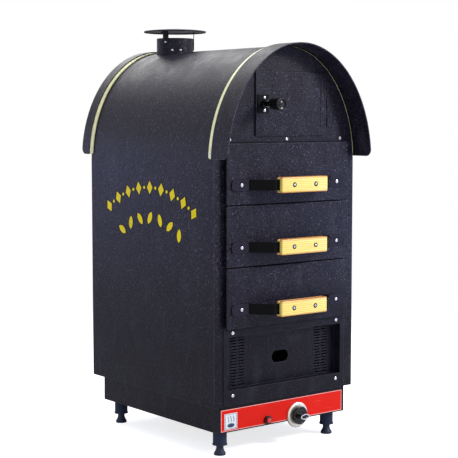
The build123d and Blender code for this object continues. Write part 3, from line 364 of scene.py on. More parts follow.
def handle_paint_shaded_arms(name, arm, tab, wear_and_sheen, fold_x):
    """Painted shade as flat black on a handle's arms, with its two end tabs in the drawers' tone.
    """
    material, tree, shader = finish(name)
    off_middle = reckon(tree, "ABSOLUTE", place_along(tree, "X"))
    on_tab = spread(tree, off_middle, 0.0, 1.0, start=fold_x - 0.5 * MM, end=fold_x + 0.5 * MM)
    dimples = pattern(tree, "noise", 280, detail=1.5, swirl=0.6)
    smears = pattern(tree, "noise", 18, detail=4)
    hollow = scaled(tab, 0.35)
    speckled = tones(tree, dimples, (0.4, hollow), (0.52, tab), (0.72, hollow))
    # painted shade: the arms are laid black, the tabs keep the drawers' speckled tone
    body = laid_over(tree, on_tab, arm, speckled)
    # edges laid lighter: worn paint, and a painted highlight along them
    worn_and_lit = laid_over(tree, edge_wear_and_sheen(tree, 0.9 * MM, 0.5), body, wear_and_sheen)
    surfaced(tree, shader, worn_and_lit, spread(tree, smears, 0.35, 0.5), {SPECULAR: 0.08})
    relief(tree, shader, (dimples, 0.5, 0.4 * MM), rounding=0.7 * MM)
    return material


def bare_metal(name, tone, dull, roughness, stretch=(0.03, 1, 1), stain=None, patina=0.3):
    """Metal with drawn lines, a cloudy patina and, where heated, brown stains."""
    material, tree, shader = finish(name)
    lines = pattern(tree, "noise", 1500, stretch=stretch, detail=3)
    clouds = pattern(tree, "noise", 11, detail=5)
    body = tones(tree, lines, (0.3, scaled(tone, 0.86)), (0.7, tone))
    clouded = laid_over(tree, spread(tree, clouds, 0.0, patina, 0.4, 0.75), body, dull)
    if stain is not None:
        blots = pattern(tree, "noise", 5.5, detail=8, swirl=0.8)
        clouded = laid_over(tree, spread(tree, blots, 0.0, 0.7, 0.48, 0.78), clouded, stain)
    rough = spread(tree, clouds, roughness - 0.08, roughness + 0.14)
    surfaced(tree, shader, clouded, rough, {"Metallic": 1.0})
    relief(tree, shader, (lines, 0.08, 0.1 * MM), (clouds, 0.05, 0.6 * MM), rounding=0.5 * MM)
    return material


def moulded(name, tone, gloss, coat, shine=0.5):
    """Glossy moulding with fine scuffs, a soft coat and a faint mottle."""
    material, tree, shader = finish(name)
    scuffs = pattern(tree, "noise", 240, stretch=(1, 0.2, 1), detail=6)
    mottle = pattern(tree, "noise", 60, detail=3)
    shaded = tones(tree, mottle, (0.3, scaled(tone, 0.85)), (0.7, scaled(tone, 1.15, 0.003)))
    rough = spread(tree, scuffs, gloss - 0.05, gloss + 0.15)
    surfaced(tree, shader, shaded, rough, {SPECULAR: shine, COAT: coat, COAT_ROUGHNESS: 0.12})
    relief(tree, shader, (scuffs, 0.05, 0.1 * MM), rounding=0.6 * MM)
    return material


def printed(name, ground, gloss):
    """Printed enamel: even ground with fading and light scratches."""
    material, tree, shader = finish(name)
    fading = pattern(tree, "noise", 7, detail=4)
    scratches = pattern(tree, "noise", 320, stretch=(0.06, 1, 0.8), detail=4)
    shaded = tones(tree, fading, (0.32, scaled(ground, 0.88)), (0.68, ground))
    scratched = spread(tree, scratches, 0.0, 0.22, 0.66, 0.8)
    marked = laid_over(tree, scratched, shaded, scaled(ground, 0.6, 0.3))
    rough = spread(tree, scratches, gloss, gloss + 0.2)
    surfaced(tree, shader, marked, rough, {SPECULAR: 0.12})
    relief(tree, shader, (scratches, 0.05, 0.08 * MM))
    return material


def varnished_wood(name, pale, grain, rim_tone, first_z, pitch, half_height):
    """Pale varnished wood, grain along X, darker towards each grip's two long rims."""
    material, tree, shader = finish(name)
    fibres = pattern(tree, "noise", 420, stretch=(0.035, 1, 1), detail=5)
    rings = pattern(tree, "bands", 60, stretch=(0.12, 1, 1), detail=3, swirl=5.0)
    from_first = reckon(tree, "SUBTRACT", place_along(tree, "Z"), first_z - pitch / 2)
    turn = reckon(tree, "FLOORED_MODULO", from_first, pitch)
    off_middle = reckon(tree, "ABSOLUTE", reckon(tree, "SUBTRACT", turn, pitch / 2))
    wavy = reckon(tree, "ADD", off_middle, spread(tree, fibres, -1.2 * MM, 1.2 * MM))
    rim = spread(tree, wavy, 0.0, 0.85, start=0.72 * half_height, end=0.98 * half_height)
    body = tones(tree, rings, (0.25, grain), (0.62, pale))
    streaked = laid_over(tree, spread(tree, fibres, 0.0, 0.5, 0.5, 0.75), body, grain)
    # the grips are laid darker towards their two long rims
    rimmed = laid_over(tree, rim, streaked, rim_tone)
    rough = spread(tree, fibres, 0.32, 0.5)
    surfaced(tree, shader, rimmed, rough, {COAT: 0.3, COAT_ROUGHNESS: 0.2})
    relief(tree, shader, (fibres, 0.12, 0.2 * MM))
    return material


# ---- shaping by hand --------------------------------------------------------------
def clear():
    """Object mode with nothing selected."""
    if bpy.context.object and bpy.context.object.mode != "OBJECT":
        bpy.ops.object.mode_set(mode="OBJECT")
    bpy.ops.object.select_all(action="DESELECT")


def only(piece):
    """Selects one piece alone and makes it active."""
    clear()
    piece.select_set(True)
    bpy.context.view_layer.objects.active = piece


def started(name):
    """Names the primitive that was just added."""
    piece = bpy.context.object
    piece.name = name
    piece.data.name = name
    return piece


def settle(piece):
    """Moves a piece's place, turn and size into its mesh."""
    only(piece)
    bpy.ops.object.transform_apply(location=True, rotation=True, scale=True)
    return piece


def edit(piece, kind="FACE", test=None):
    """Opens a piece in edit mode with the parts that pass the test selected, or all."""
    only(piece)
    mesh = piece.data
    for parts in (mesh.vertices, mesh.edges, mesh.polygons):
        parts.foreach_set("select", [test is None] * len(parts))
    if test:
        for part in mesh.polygons if kind == "FACE" else mesh.vertices:
            part.select = bool(test(part))
    bpy.context.tool_settings.mesh_select_mode = (kind == "VERT", False, kind == "FACE")
    bpy.ops.object.mode_set(mode="EDIT")


def done(outward=True):
    """Closes edit mode with doubles merged and faces turned outwards."""
    bpy.ops.mesh.select_all(action="SELECT")
    bpy.ops.mesh.remove_doubles(threshold=0.002 * MM)
    if outward:
        bpy.ops.mesh.normals_make_consistent(inside=False)
    bpy.ops.object.mode_set(mode="OBJECT")


def modify(piece, kind, **settings):
    """Adds a modifier with its settings and applies it."""
    only(piece)
    modifier = piece.modifiers.new(kind.title(), kind)
    for key, value in settings.items():
        setattr(modifier, key, value)
    bpy.ops.object.modifier_apply(modifier=modifier.name)
    return piece


def eased(piece, width, segments=3, angle=30):
    """Rounds a piece's sharp edges."""
    return modify(
        piece,
        "BEVEL",
        width=width,
        segments=segments,
        limit_method="ANGLE",
        angle_limit=math.radians(angle),
    )


def circle(name, sides, radius=1, fill="NGON"):
    """A flat round piece that faces +Z."""
    clear()
    bpy.ops.mesh.primitive_circle_add(vertices=sides, radius=radius, fill_type=fill)
    return started(name)


def sheet(name, wide, tall):
    """A rectangle that faces +Z."""
    clear()
    bpy.ops.mesh.primitive_plane_add(size=1)
    piece = started(name)
    piece.scale = (wide, tall, 1)
    return settle(piece)


def extruded(x, y, z):
    """Extrudes what is selected in edit mode."""
    bpy.ops.mesh.extrude_region_move(TRANSFORM_OT_translate={"value": (x, y, z)})


def resized(x, y, height=0):
    """Scales what is selected in edit mode along X and Y, about the Z axis."""
    bpy.ops.transform.resize(value=(x, y, 1), center_override=(0, 0, height))


def thickened(piece, thickness):
    """Gives a flat piece a thickness, half on each side."""
    modify(piece, "SOLIDIFY", thickness=thickness, offset=0.0)
    edit(piece)
    done()
    return piece


def turned(name, rings, sides=32):
    """A turned piece round +Z, from its rings of radius and height, low to high."""
    first_radius, first_height = rings[0]
    piece = circle(name, sides, first_radius)
    piece.location = (0, 0, first_height)
    settle(piece)
    edit(piece)
    for (radius, height), (next_radius, next_height) in zip(rings, rings[1:]):
        extruded(0, 0, next_height - height)
        resized(next_radius / radius, next_radius / radius, next_height)
    done()
    return piece


def in_mm(*rings):
    """Rings of radius and height given in millimetres, as metres."""
    return [(radius * MM, height * MM) for radius, height in rings]


def oval(name, half_length, half_width, low, high, taper=1.0, sides=48):
    """An oval prism along X, between two heights."""
    piece = turned(name, [(1, low), (taper, high)], sides)
    edit(piece)
    resized(half_length, half_width)
    done()
    return piece


def block(name, low, high, rounding=0.0, segments=3):
    """A block between two corners with its edges eased."""
    clear()
    bpy.ops.mesh.primitive_cube_add(size=1)
    piece = started(name)
    piece.location = [(a + b) / 2 for a, b in zip(low, high)]
    piece.scale = [b - a for a, b in zip(low, high)]
    settle(piece)
    return eased(piece, rounding, segments) if rounding else piece


def thin_frame(name, wide, tall, border, thickness):
    """A line round a rectangle that faces +Z."""
    line = sheet(name, wide, tall)
    edit(line)
    bpy.ops.mesh.inset(thickness=border, depth=0)
    bpy.ops.mesh.delete(type="FACE")
    done(outward=False)
    return thickened(line, thickness)


def discard(piece):
    """Deletes a piece."""
    only(piece)
    bpy.ops.object.delete()


def cut(piece, cutter):
    """Cuts one piece out of another."""
    modify(piece, "BOOLEAN", operation="DIFFERENCE", solver="EXACT", object=cutter)
    discard(cutter)


def copied(piece, name):
    """A copy of a piece with its own mesh."""
    only(piece)
    bpy.ops.object.duplicate(linked=False)
    return started(name)


def stood(piece, point, outward, upward=UP):
    """Turns a piece made round +Z to face outward, its +Y upward, at a point."""
    out = Vector(outward).normalized()
    up = Vector(upward)
    if abs(out.dot(up.normalized())) > 0.99:
        up = Vector((0, 1, 0))
    up = (up - out * up.dot(out)).normalized()
    turn = Matrix((up.cross(out), up, out)).transposed().to_4x4()
    piece.matrix_world = Matrix.Translation(Vector(point)) @ turn
    return settle(piece)


def joined(name, pieces):
    """Two or more pieces joined as one."""
    clear()
    for piece in pieces:
        piece.select_set(True)
    bpy.context.view_layer.objects.active = pieces[0]
    bpy.ops.object.join()
    return started(name)


def repeated(name, model, places):
    """The model copied to every place of point, outward and upward, as one piece."""
    pieces = [stood(copied(model, name), *place) for place in places]
    discard(model)
    return joined(name, pieces)


def middle_of(node):
    """The middle of a CAD node's box."""
    low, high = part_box(node)
    return (Vector(low) + Vector(high)) / 2


def painted(piece, *names):
    """Lays finishes on a piece by their names."""
    for name in names:
        piece.data.materials.append(bpy.data.materials[name])


def dress(piece, finish_name, slot, body, *stands_for):
    """Gives a piece its finish if it has none yet, its shading and its body; the slot argument is
    not used.
    """
    if not piece.data.materials:
        painted(piece, finish_name)
    only(piece)
    bpy.ops.object.shade_smooth_by_angle(angle=SMOOTH_ANGLE)
    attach(piece, body)
    if stands_for:
        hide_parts(*stands_for)


# ---- operators ---------------------------------------------------------------------
class OVEN_OT_finishes(bpy.types.Operator):
    """Make every finish and lay it on the oven's own parts"""

    bl_idname = "oven.finishes"
    bl_label = "Finishes"

    def execute(self, context):
        tone = context.scene.oven_colours
        cell = context.scene.oven_sizes.paint_cell
        dark, light, wear_and_sheen = tone.paint_dark, tone.paint_light, tone.paint_wear_and_sheen
        low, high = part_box("lower_handle_grip")
        grip_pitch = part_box("middle_handle_grip")[0].z - low.z
        tab_wide = 56 * MM
        fold_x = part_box("lower_handle_bar")[1].x - tab_wide
        finishes = {
            "black_paint": hammer_paint("hammered_paint", dark, light, wear_and_sheen, cell),
            "handle_black": handle_paint_shaded_arms("handle_paint_shaded_arms", tone.arm_painted_shade, light, wear_and_sheen, fold_x),
            "leg_steel": smooth_paint("leg_paint", tone.leg_blue, wear_and_sheen, 0.4),
            "foot_black": moulded("foot_nylon", tone.foot_black, 0.45, 0.0, 0.25),
            "oven_steel": bare_metal(
                "oven_sheet", tone.sheet_steel, shade(92, 90, 86), 0.38, stain=tone.baked_brown
            ),
            "bright_steel": bare_metal("zinc_plate", tone.zinc, shade(120, 122, 126), 0.24, EVEN),
            "cream_trim": moulded("cream_strip", tone.trim_cream, 0.42, 0.1),
            "pale_wood": varnished_wood(
                "varnished_wood",
                tone.wood_pale,
                tone.wood_grain,
                tone.wood_rim_tone,
                (low.z + high.z) / 2,
                grip_pitch,
                (high.z - low.z) / 2,
            ),
            "red_label": printed("label_red", tone.label_red, 0.3),
            "pale_badge": printed("badge_ground", tone.badge_pale, 0.3),
            "cream_bezel": bare_metal(
                "dial_ring", tone.dial_cream, shade(178, 172, 152), 0.34, EVEN, patina=0.5
            ),
            "black_bakelite": moulded("bakelite", tone.bakelite, 0.2, 0.3, 0.2),
            "red_button": moulded("button_red", tone.button_red, 0.25, 0.5),
            "brass": bare_metal("brass", tone.brass, shade(126, 100, 56), 0.3, EVEN),
            "copper_pipe": bare_metal("copper", tone.copper, shade(110, 62, 44), 0.3, (1, 0.05, 1)),
        }
        printed("label_line", tone.label_line, 0.35)
        printed("badge_ink", tone.badge_ink, 0.35)
        printed("ornament_yellow", tone.ornament, 0.35)
        printed("dark_print_and_shade", tone.outline, 0.35)
        # the hoods' edges get a lighter tone over a wider band: wear, and a painted highlight along
        # the sheet edges
        hood_wear_and_sheen = shade(150, 150, 168)
        hood_paint = hammer_paint("hood_paint", dark, light, hood_wear_and_sheen, cell, 1.9 * MM, 1.0)
        for part in frame["record"]["subparts"]:
            hood = part["node"] in ("front_hood", "rear_hood")
            materials = cad[part["node"]].data.materials
            materials.clear()
            materials.append(hood_paint if hood else finishes[part["material_slot"]])
        return {"FINISHED"}


def dome_head(name, radius, rise, shank, reach, cross=True):
    """A pan-headed screw: shank, flat seat, domed head and cross recess."""
    dome = (0.94, 0), (1, 0.12), (1, 0.3), (0.93, 0.58), (0.78, 0.8), (0.55, 0.94), (0.2, 1)
    head = [(radius * across, rise * up) for across, up in dome]
    screw = turned(name, [(shank, -reach), (shank, 0), *head])
    if cross:
        arm, half, floor = radius * 0.5, radius * 0.085, rise * 0.4
        for half_x, half_y in ((arm, half), (half, arm)):
            cut(screw, block("slot", (-half_x, -half_y, floor), (half_x, half_y, rise * 1.6)))
    return screw


class OVEN_OT_casing_screws(bpy.types.Operator):
    """Turn the screws of the front, louvre and back panels"""

    bl_idname = "oven.casing_screws"
    bl_label = "Casing screws"

    def execute(self, context):
        front_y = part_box("tympanum_panel")[0].y
        back_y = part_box("back_panel")[1].y
        tympanum = [(x, 850.1) for x in (-198, 0, 198)]
        louvre_panel = [(x, z) for x in (-187, 187) for z in (168, 337)]
        back_panel = [(x, z) for x in (-225, 225) for z in (172, 462, 752)]
        places = [((x * MM, front_y, z * MM), OUT_FRONT) for x, z in tympanum + louvre_panel]
        places += [((x * MM, back_y, z * MM), OUT_BACK) for x, z in back_panel]
        model = dome_head("screw", context.scene.oven_sizes.screw_head, 2 * MM, 1.7 * MM, 8 * MM)
        screws = repeated("panel_screws", model, places)
        dress(screws, "zinc_plate", "bright_steel", "cabinet", "casing_screws")
        return {"FINISHED"}


class OVEN_OT_handle_fasteners(bpy.types.Operator):
    """Turn each handle's bolts with their washers and nuts, and the grip screws in cups; washers
    and cups are dark as the painted shadow round each head
    """

    bl_idname = "oven.handle_fasteners"
    bl_label = "Handle fasteners"

    def execute(self, context):
        size = context.scene.oven_sizes
        bolt_x = 170 * MM
        nut_high = 2.5 * MM
        for drawer in DRAWERS:
            node = f"{drawer}_handle_fasteners"
            grip_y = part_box(f"{drawer}_handle_grip")[0].y
            z = middle_of(f"{drawer}_handle_grip").z
            tab_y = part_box(f"{drawer}_handle_bar")[1].y - BAR_THICK
            back_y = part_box(node)[1].y
            on_tabs = [((x, tab_y, z), OUT_FRONT) for x in (-bolt_x, bolt_x)]
            behind = [((x, back_y - nut_high, z), OUT_BACK) for x in (-bolt_x, bolt_x)]
            on_grip = [((x, grip_y, z), OUT_FRONT) for x in (-GRIP_SCREW_X, GRIP_SCREW_X)]
            bolt = dome_head("bolt", size.bolt_head, 2 * MM, 1.9 * MM, back_y - tab_y, False)
            bolts = repeated("bolts", bolt, on_tabs)
            nut = turned("nut", in_mm((5.6, 0), (5.8, 0.3), (5.8, 2), (5.2, 2.5)), 6)
            nuts = repeated("nuts", nut, behind)
            screw = dome_head("screw", size.grip_head, 1.7 * MM, 1.6 * MM, 22 * MM)
            screws = repeated("screws", screw, on_grip)
            metal = joined(f"{drawer}_handle_bolts", [bolts, nuts, screws])
            dress(metal, "zinc_plate", "bright_steel", f"{drawer}_drawer", node)
            # painted shadow: the washers, and the cups in the grips' recesses, are near-black as
            # the shadow ring round each bolt and screw head
            washer = turned("washer", in_mm((7.2, 0), (7.4, 0.2), (7.2, 0.5), (5.2, 0.7)))
            washers = repeated("washers", washer, on_tabs)
            cup = turned("cup", in_mm((6.2, -1.2), (6.5, 0.1), (5.9, 0.7), (4.6, 0.7), (3.8, 0.1)))
            cups = repeated("cups", cup, on_grip)
            dark = joined(f"{drawer}_handle_shadow_rings", [washers, cups])
            dress(dark, "dark_print_and_shade", "handle_black", f"{drawer}_drawer")
        return {"FINISHED"}


class OVEN_OT_small_fasteners(bpy.types.Operator):
    """Turn the screws of the knob plate and the flue, and the nails of the strips"""

    bl_idname = "oven.small_fasteners"
    bl_label = "Small fasteners"

    def execute(self, context):
        size = context.scene.oven_sizes
        plate_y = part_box("knob_plate")[0].y
        plate_z = middle_of("knob_plate").z
        off_knob = 17.2 * MM
        heights = (plate_z - off_knob, plate_z + off_knob)
        places = [((KNOB_X, plate_y, z), OUT_FRONT) for z in heights]
        model = dome_head("screw", size.plate_head, 2 * MM, 1.6 * MM, 4 * MM)
        screws = repeated("plate_screws", model, places)
        dress(screws, "zinc_plate", "bright_steel", "door", "knob_plate_screws")

        low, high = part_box("flue_pipe")
        middle_y = middle_of("flue_pipe").y
        strap_thick, strap_z, pipe_z = 1.5 * MM, 1132 * MM, 1108 * MM
        on_straps = [(angle, strap_z, strap_thick) for angle in (84, 204, 324)]
        on_pipe = [(angle, pipe_z, 0) for angle in (225, 251)]
        places = []
        for angle, z, past in on_straps + on_pipe:
            turn = math.radians(angle)
            away = Vector((math.cos(turn), math.sin(turn), 0))
            places.append((Vector((0, middle_y, z)) + ((high.x - low.x) / 2 + past) * away, away))
        model = dome_head("screw", 3.5 * MM, 1.8 * MM, 1.2 * MM, 5 * MM)
        screws = repeated("pipe_screws", model, places)
        dress(screws, "zinc_plate", "bright_steel", "cabinet", "flue_screws")

        low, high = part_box("trim_nails")
        z = middle_of("trim_nails").z
        head, rise = size.nail_head, 1.6 * MM
        rows = (low.y + head, high.y - head)
        sides = ((low.x + rise, OUT_LEFT), (high.x - rise, OUT_RIGHT))
        places = [((x, y, z), away) for y in rows for x, away in sides]
        model = dome_head("nail", head, rise, 1 * MM, 5 * MM, False)
        nails = repeated("strip_nails", model, places)
        dress(nails, "zinc_plate", "bright_steel", "cabinet", "trim_nails")
        return {"FINISHED"}


class OVEN_OT_grips(bpy.types.Operator):
    """Shape the two wooden halves of each grip, rounded, with screw recesses"""

    bl_idname = "oven.grips"
    bl_label = "Wooden grips"

    def execute(self, context):
        rounding = context.scene.oven_sizes.grip_round
        hole_deep = 1.4 * MM
        for drawer in DRAWERS:
            node = f"{drawer}_handle_grip"
            low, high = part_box(node)
            bar_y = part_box(f"{drawer}_handle_bar")[0].y
            front = block("front", low, (high.x, bar_y, high.z), rounding, 4)
            rear = block("rear", (low.x, bar_y + BAR_THICK, low.z), high, rounding * 0.8, 4)
            for x in (-GRIP_SCREW_X, GRIP_SCREW_X):
                hole = turned("hole", in_mm((6.3, 0), (6.8, 2)))
                stood(hole, (x, low.y + hole_deep, (low.z + high.z) / 2), OUT_FRONT)
                cut(front, hole)
            grip = joined(f"{drawer}_wood_grip", [front, rear])
            dress(grip, "varnished_wood", "pale_wood", f"{drawer}_drawer", node)
        return {"FINISHED"}


class OVEN_OT_strips(bpy.types.Operator):
    """Bend the cream strips round the arch, each over a dark line a little wider, the seam with its
    painted shadow
    """

    bl_idname = "oven.strips"
    bl_label = "Arch strips"

    def execute(self, context):
        spring_z = 783.9 * MM
        strip_wide = 20 * MM
        seam_shadow_past, seam_shadow_thick = 2.6 * MM, 0.7 * MM
        clearance, corner = 0.1 * MM, 9 * MM
        wrap_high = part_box("casing_wrap")[1]
        for name, node, past in (
            ("front_strip", "front_trim", 0),
            ("rear_strip", "rear_trim", 0),
            ("front_seam_shadow", "front_trim", seam_shadow_past),
            ("rear_seam_shadow", "rear_trim", seam_shadow_past),
        ):
            thick = seam_shadow_thick if past else context.scene.oven_sizes.trim_thick
            above = thick / 2 + clearance
            low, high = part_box(node)
            start = (low.y if node == "front_trim" else high.y - strip_wide) - past
            strip = circle(name, 256, fill="NOTHING")
            strip.rotation_euler = (math.pi / 2, 0, 0)
            strip.location = (0, start, spring_z)
            strip.scale = (wrap_high.x + above, wrap_high.z - spring_z + above, 1)
            settle(strip)
            edit(strip, "VERT")
            bpy.ops.mesh.bisect(plane_co=(0, 0, low.z), plane_no=UP, clear_inner=True)
            bpy.ops.mesh.select_all(action="SELECT")
            extruded(0, strip_wide + 2 * past, 0)
            bpy.ops.object.mode_set(mode="OBJECT")
            foot = min(vertex.co.z for vertex in strip.data.vertices)
            edit(strip, "VERT", lambda vertex: vertex.co.z < foot + NEAR)
            bpy.ops.mesh.bevel(offset=corner, segments=6, affect="VERTICES", clamp_overlap=False)
            done(outward=False)
            thickened(strip, thick)
            # the dark line that shows past each strip's edges is painted shadow, together with the
            # seam there
            if past:
                dress(strip, "dark_print_and_shade", "black_paint", "cabinet")
                continue
            eased(strip, 1.1 * MM, 3, 50)
            painted(strip, "cream_strip", "dark_print_and_shade")
            # painted shade: the front strip's forward faces, under the front hood, take the dark
            # finish
            for face in strip.data.polygons:
                face.material_index = int(node == "front_trim" and face.normal.y < -0.4)
            dress(strip, "cream_strip", "cream_trim", "cabinet", node)
        return {"FINISHED"}


class OVEN_OT_label_line(bpy.types.Operator):
    """Lay the border line round the control label, and the ticks on the dial ring"""

    bl_idname = "oven.label_line"
    bl_label = "Label line and ticks"

    def execute(self, context):
        low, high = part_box("control_label")
        margin, proud, thick = 1 * MM, 0.12 * MM, 0.2 * MM
        wide, tall = high.x - low.x - margin, high.z - low.z - margin
        border = context.scene.oven_sizes.line_wide
        line = thin_frame("label_border", wide, tall, border, thick)
        stood(line, (0, low.y - proud, (low.z + high.z) / 2), OUT_FRONT)
        dress(line, "label_line", "pale_badge", "cabinet")

        low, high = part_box("knob_bezel")
        middle = middle_of("knob_bezel")
        ring = (high.x - low.x) / 2 - 7.5 * MM
        places = []
        for angle in (10, 45):
            turn = math.radians(angle)
            away = Vector((math.sin(turn), 0, math.cos(turn)))
            point = Vector((middle.x, low.y + 0.3 * MM, middle.z)) + ring * away
            places.append((point, OUT_FRONT, away))
        tick_low = (-0.9 * MM, -2.4 * MM, -0.6 * MM)
        tick = block("tick", tick_low, (0.9 * MM, 2.4 * MM, 0.4 * MM), 0.2 * MM, 2)
        ticks = repeated("dial_ticks", tick, places)
        dress(ticks, "dark_print_and_shade", "black_bakelite", "cabinet")
        return {"FINISHED"}


def curl(name, height, width, swing, thickness):
    """A rising curl of steam in the XY plane, drawn by pushing an edge upwards."""
    steps = 14
    rise = height / steps
    piece = sheet(name, width, rise)
    edit(piece, "VERT", lambda vertex: vertex.co.y > 0)
    for step in range(steps):
        sideways = swing * 2 * math.pi / steps * math.cos(2 * math.pi * step / steps)
        extruded(sideways, rise, 0)
    done(outward=False)
    return thickened(piece, thickness)


class OVEN_OT_badge_motif(bpy.types.Operator):
    """Draw three curls of steam over an oval on the square badge, inside a thin line"""

    bl_idname = "oven.badge_motif"
    bl_label = "Badge motif"

    def execute(self, context):
        low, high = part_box("badge_plate")
        x, z = middle_of("badge_plate").xz
        raised = 0.3 * MM
        margin = 4 * MM
        places = [((x + shift * MM, low.y, z - 1 * MM), OUT_FRONT) for shift in (-9, 0, 9)]
        curls = repeated("curls", curl("curl", 15 * MM, 1.7 * MM, 1.5 * MM, raised), places)
        potato = oval("oval", 12.15 * MM, 5.58 * MM, -raised / 2, raised / 2, sides=40)
        stood(potato, (x, low.y, z - 11 * MM), OUT_FRONT)
        wide, tall = high.x - low.x - margin, high.z - low.z - margin
        line = thin_frame("line", wide, tall, 0.9 * MM, raised)
        stood(line, (x, low.y, z), OUT_FRONT)
        motif = joined("badge_motif", [curls, potato, line])
        dress(motif, "badge_ink", "leg_steel", "cabinet")
        return {"FINISHED"}


class OVEN_OT_gas_knob(bpy.types.Operator):
    """Turn the gas knob's disc, raise its blade and ring the blade's face in silver"""

    bl_idname = "oven.gas_knob"
    bl_label = "Gas knob"

    def execute(self, context):
        low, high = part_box("gas_knob")
        place = ((low.x + high.x) / 2, high.y, (low.z + high.z) / 2)
        radius = (high.x - low.x) / 2 * 1.1
        disc_high = 7 * MM
        top = high.y - low.y
        rim = (1.2, 7), (0, 5.8), (0, 1.8), (0.6, 0.7), (1.8, 0), (4.5, 0), (5.2, 0.5)
        rings = [(radius - inset * MM, disc_high - down * MM) for inset, down in rim]
        disc = turned("disc", rings + [(radius * 0.45, disc_high - 0.5 * MM)], 72)
        blade = oval("blade", 18 * MM, 9 * MM, disc_high - 1 * MM, top, 0.9)
        eased(blade, 0.9 * MM, 3, 40)
        knob = joined("gas_knob_moulding", [disc, blade])
        stood(knob, place, OUT_FRONT)
        dress(knob, "bakelite", "black_bakelite", "gas_knob", "gas_knob")

        silver = oval("gas_knob_silver", 16.1 * MM, 8.0 * MM, top - 1 * MM, top + 0.35 * MM)
        cut(silver, oval("inner", 12.4 * MM, 4.9 * MM, top - 2 * MM, top + 1 * MM))
        stood(silver, place, OUT_FRONT)
        dress(silver, "zinc_plate", "bright_steel", "gas_knob")
        return {"FINISHED"}


class OVEN_OT_door_knob(bpy.types.Operator):
    """Turn the door knob's moulding, which flares to a dished face with a domed middle"""

    bl_idname = "oven.door_knob"
    bl_label = "Door knob"

    def execute(self, context):
        plate_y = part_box("knob_plate")[0].y
        reach = plate_y - cad_box[0][1] - 1.2 * MM
        collar = in_mm((10.8, 0.3), (10.8, 5.6), (9.2, 8), (9.2, 14))
        flare = in_mm((10.6, 21), (13, 28), (14.9, 34), (16, 40))
        rim = (17, 6), (17.4, 4), (17, 1.6), (16, 0.4), (15, 0), (13.8, 0.7)
        middle = (12.8, 3.4), (10.8, 4), (8.6, 2.6), (5.6, 1.3), (2, 0.6)
        face = [(radius * MM, reach - back * MM) for radius, back in rim + middle]
        knob = turned("door_knob_moulding", collar + flare + face, 48)
        stood(knob, (KNOB_X, plate_y, middle_of("knob_plate").z), OUT_FRONT)
        dress(knob, "bakelite", "black_bakelite", "door_knob")
        return {"FINISHED"}


def two_tone(piece, height, border):
    """Rims a flat shape facing +Z in its outline finish, with the middle face bright."""
    edit(piece)
    extruded(0, 0, height)
    bpy.ops.mesh.inset(thickness=border, depth=0.0)
    bpy.ops.object.mode_set(mode="OBJECT")
    painted(piece, "dark_print_and_shade", "ornament_yellow")
    for face in piece.data.polygons:
        face.material_index = int(face.select)
    edit(piece)
    done()


def flat_shape(name, sides, half_wide, half_tall, points=0.0):
    """A flat shape of so many sides, its two ends along Y drawn out to points."""
    piece = circle(name, sides)
    piece.scale = (half_wide, half_tall, 1)
    settle(piece)
    if points:
        edit(piece, "VERT", lambda vertex: abs(vertex.co.x) < NEAR)
        resized(1, 1 + points)
        bpy.ops.object.mode_set(mode="OBJECT")
    return piece


class OVEN_OT_side_ornament(bpy.types.Operator):
    """Lay an arch of lozenges and dots over an arch of leaves on both sides"""

    bl_idname = "oven.side_ornament"
    bl_label = "Side ornament"

    def execute(self, context):
        size = context.scene.oven_sizes
        low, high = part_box("casing_wrap")
        middle_y = (low.y + high.y) / 2 - 5 * MM
        raised = 0.35 * MM
        outer_radius, outer_z, outer_step = 369 * MM, 346 * MM, 8.4
        inner_radius, inner_z, inner_step, lean = 252 * MM, 378 * MM, 11.0, 28
        lozenge = flat_shape("lozenge", 4, size.lozenge_tall * 0.36, size.lozenge_tall / 2)
        dot = flat_shape("dot", 20, 6.5 * MM, 6.5 * MM)
        leaf = flat_shape("leaf", 20, size.leaf_long * 0.25, size.leaf_long * 0.42, points=0.22)
        lozenges = [(outer_step * step, 0) for step in range(-4, 5)]
        dots = [(outer_step * (step + 0.5), 0) for step in range(-4, 4)]
        leaves = [(inner_step * step, lean if step % 2 else -lean) for step in range(-3, 4)]
        parts = []
        for name, model, border, angles, radius, centre_z in (
            ("lozenges", lozenge, 2.6 * MM, lozenges, outer_radius, outer_z),
            ("dots", dot, 1.9 * MM, dots, outer_radius, outer_z),
            ("leaves", leaf, 2.2 * MM, leaves, inner_radius, inner_z),
        ):
            two_tone(model, raised, border)
            places = []
            for x, away in ((low.x, OUT_LEFT), (high.x, OUT_RIGHT)):
                for angle, tilt in angles:
                    turn, tip = math.radians(angle), math.radians(angle + tilt)
                    y = middle_y + radius * math.sin(turn)
                    z = centre_z + radius * math.cos(turn)
                    places.append(((x, y, z), away, (0, math.sin(tip), math.cos(tip))))
            parts.append(repeated(name, model, places))
        ornament = joined("side_ornament", parts)
        dress(ornament, "ornament_yellow", "cream_trim", "cabinet")
        return {"FINISHED"}


def lamp(name, place, aim, size, power, tone=WHITE):
    """A square soft lamp at a place, aimed at a point."""
    clear()
    bpy.ops.object.light_add(type="AREA", location=place)
    light = bpy.context.object
    light.name = name
    light.data.size = size
    light.data.energy = power
    light.data.color = tone
    light.visible_camera = False
    light.rotation_euler = (Vector(aim) - Vector(place)).to_track_quat("-Z", "Y").to_euler()


def mixed(tree, factor, first, second):
    """Two shaders mixed by a factor."""
    mix = tree.nodes.new("ShaderNodeMixShader")
    for socket, source in zip(mix.inputs, (factor, first, second)):
        tree.links.new(source, socket)
    return mix.outputs["Shader"]


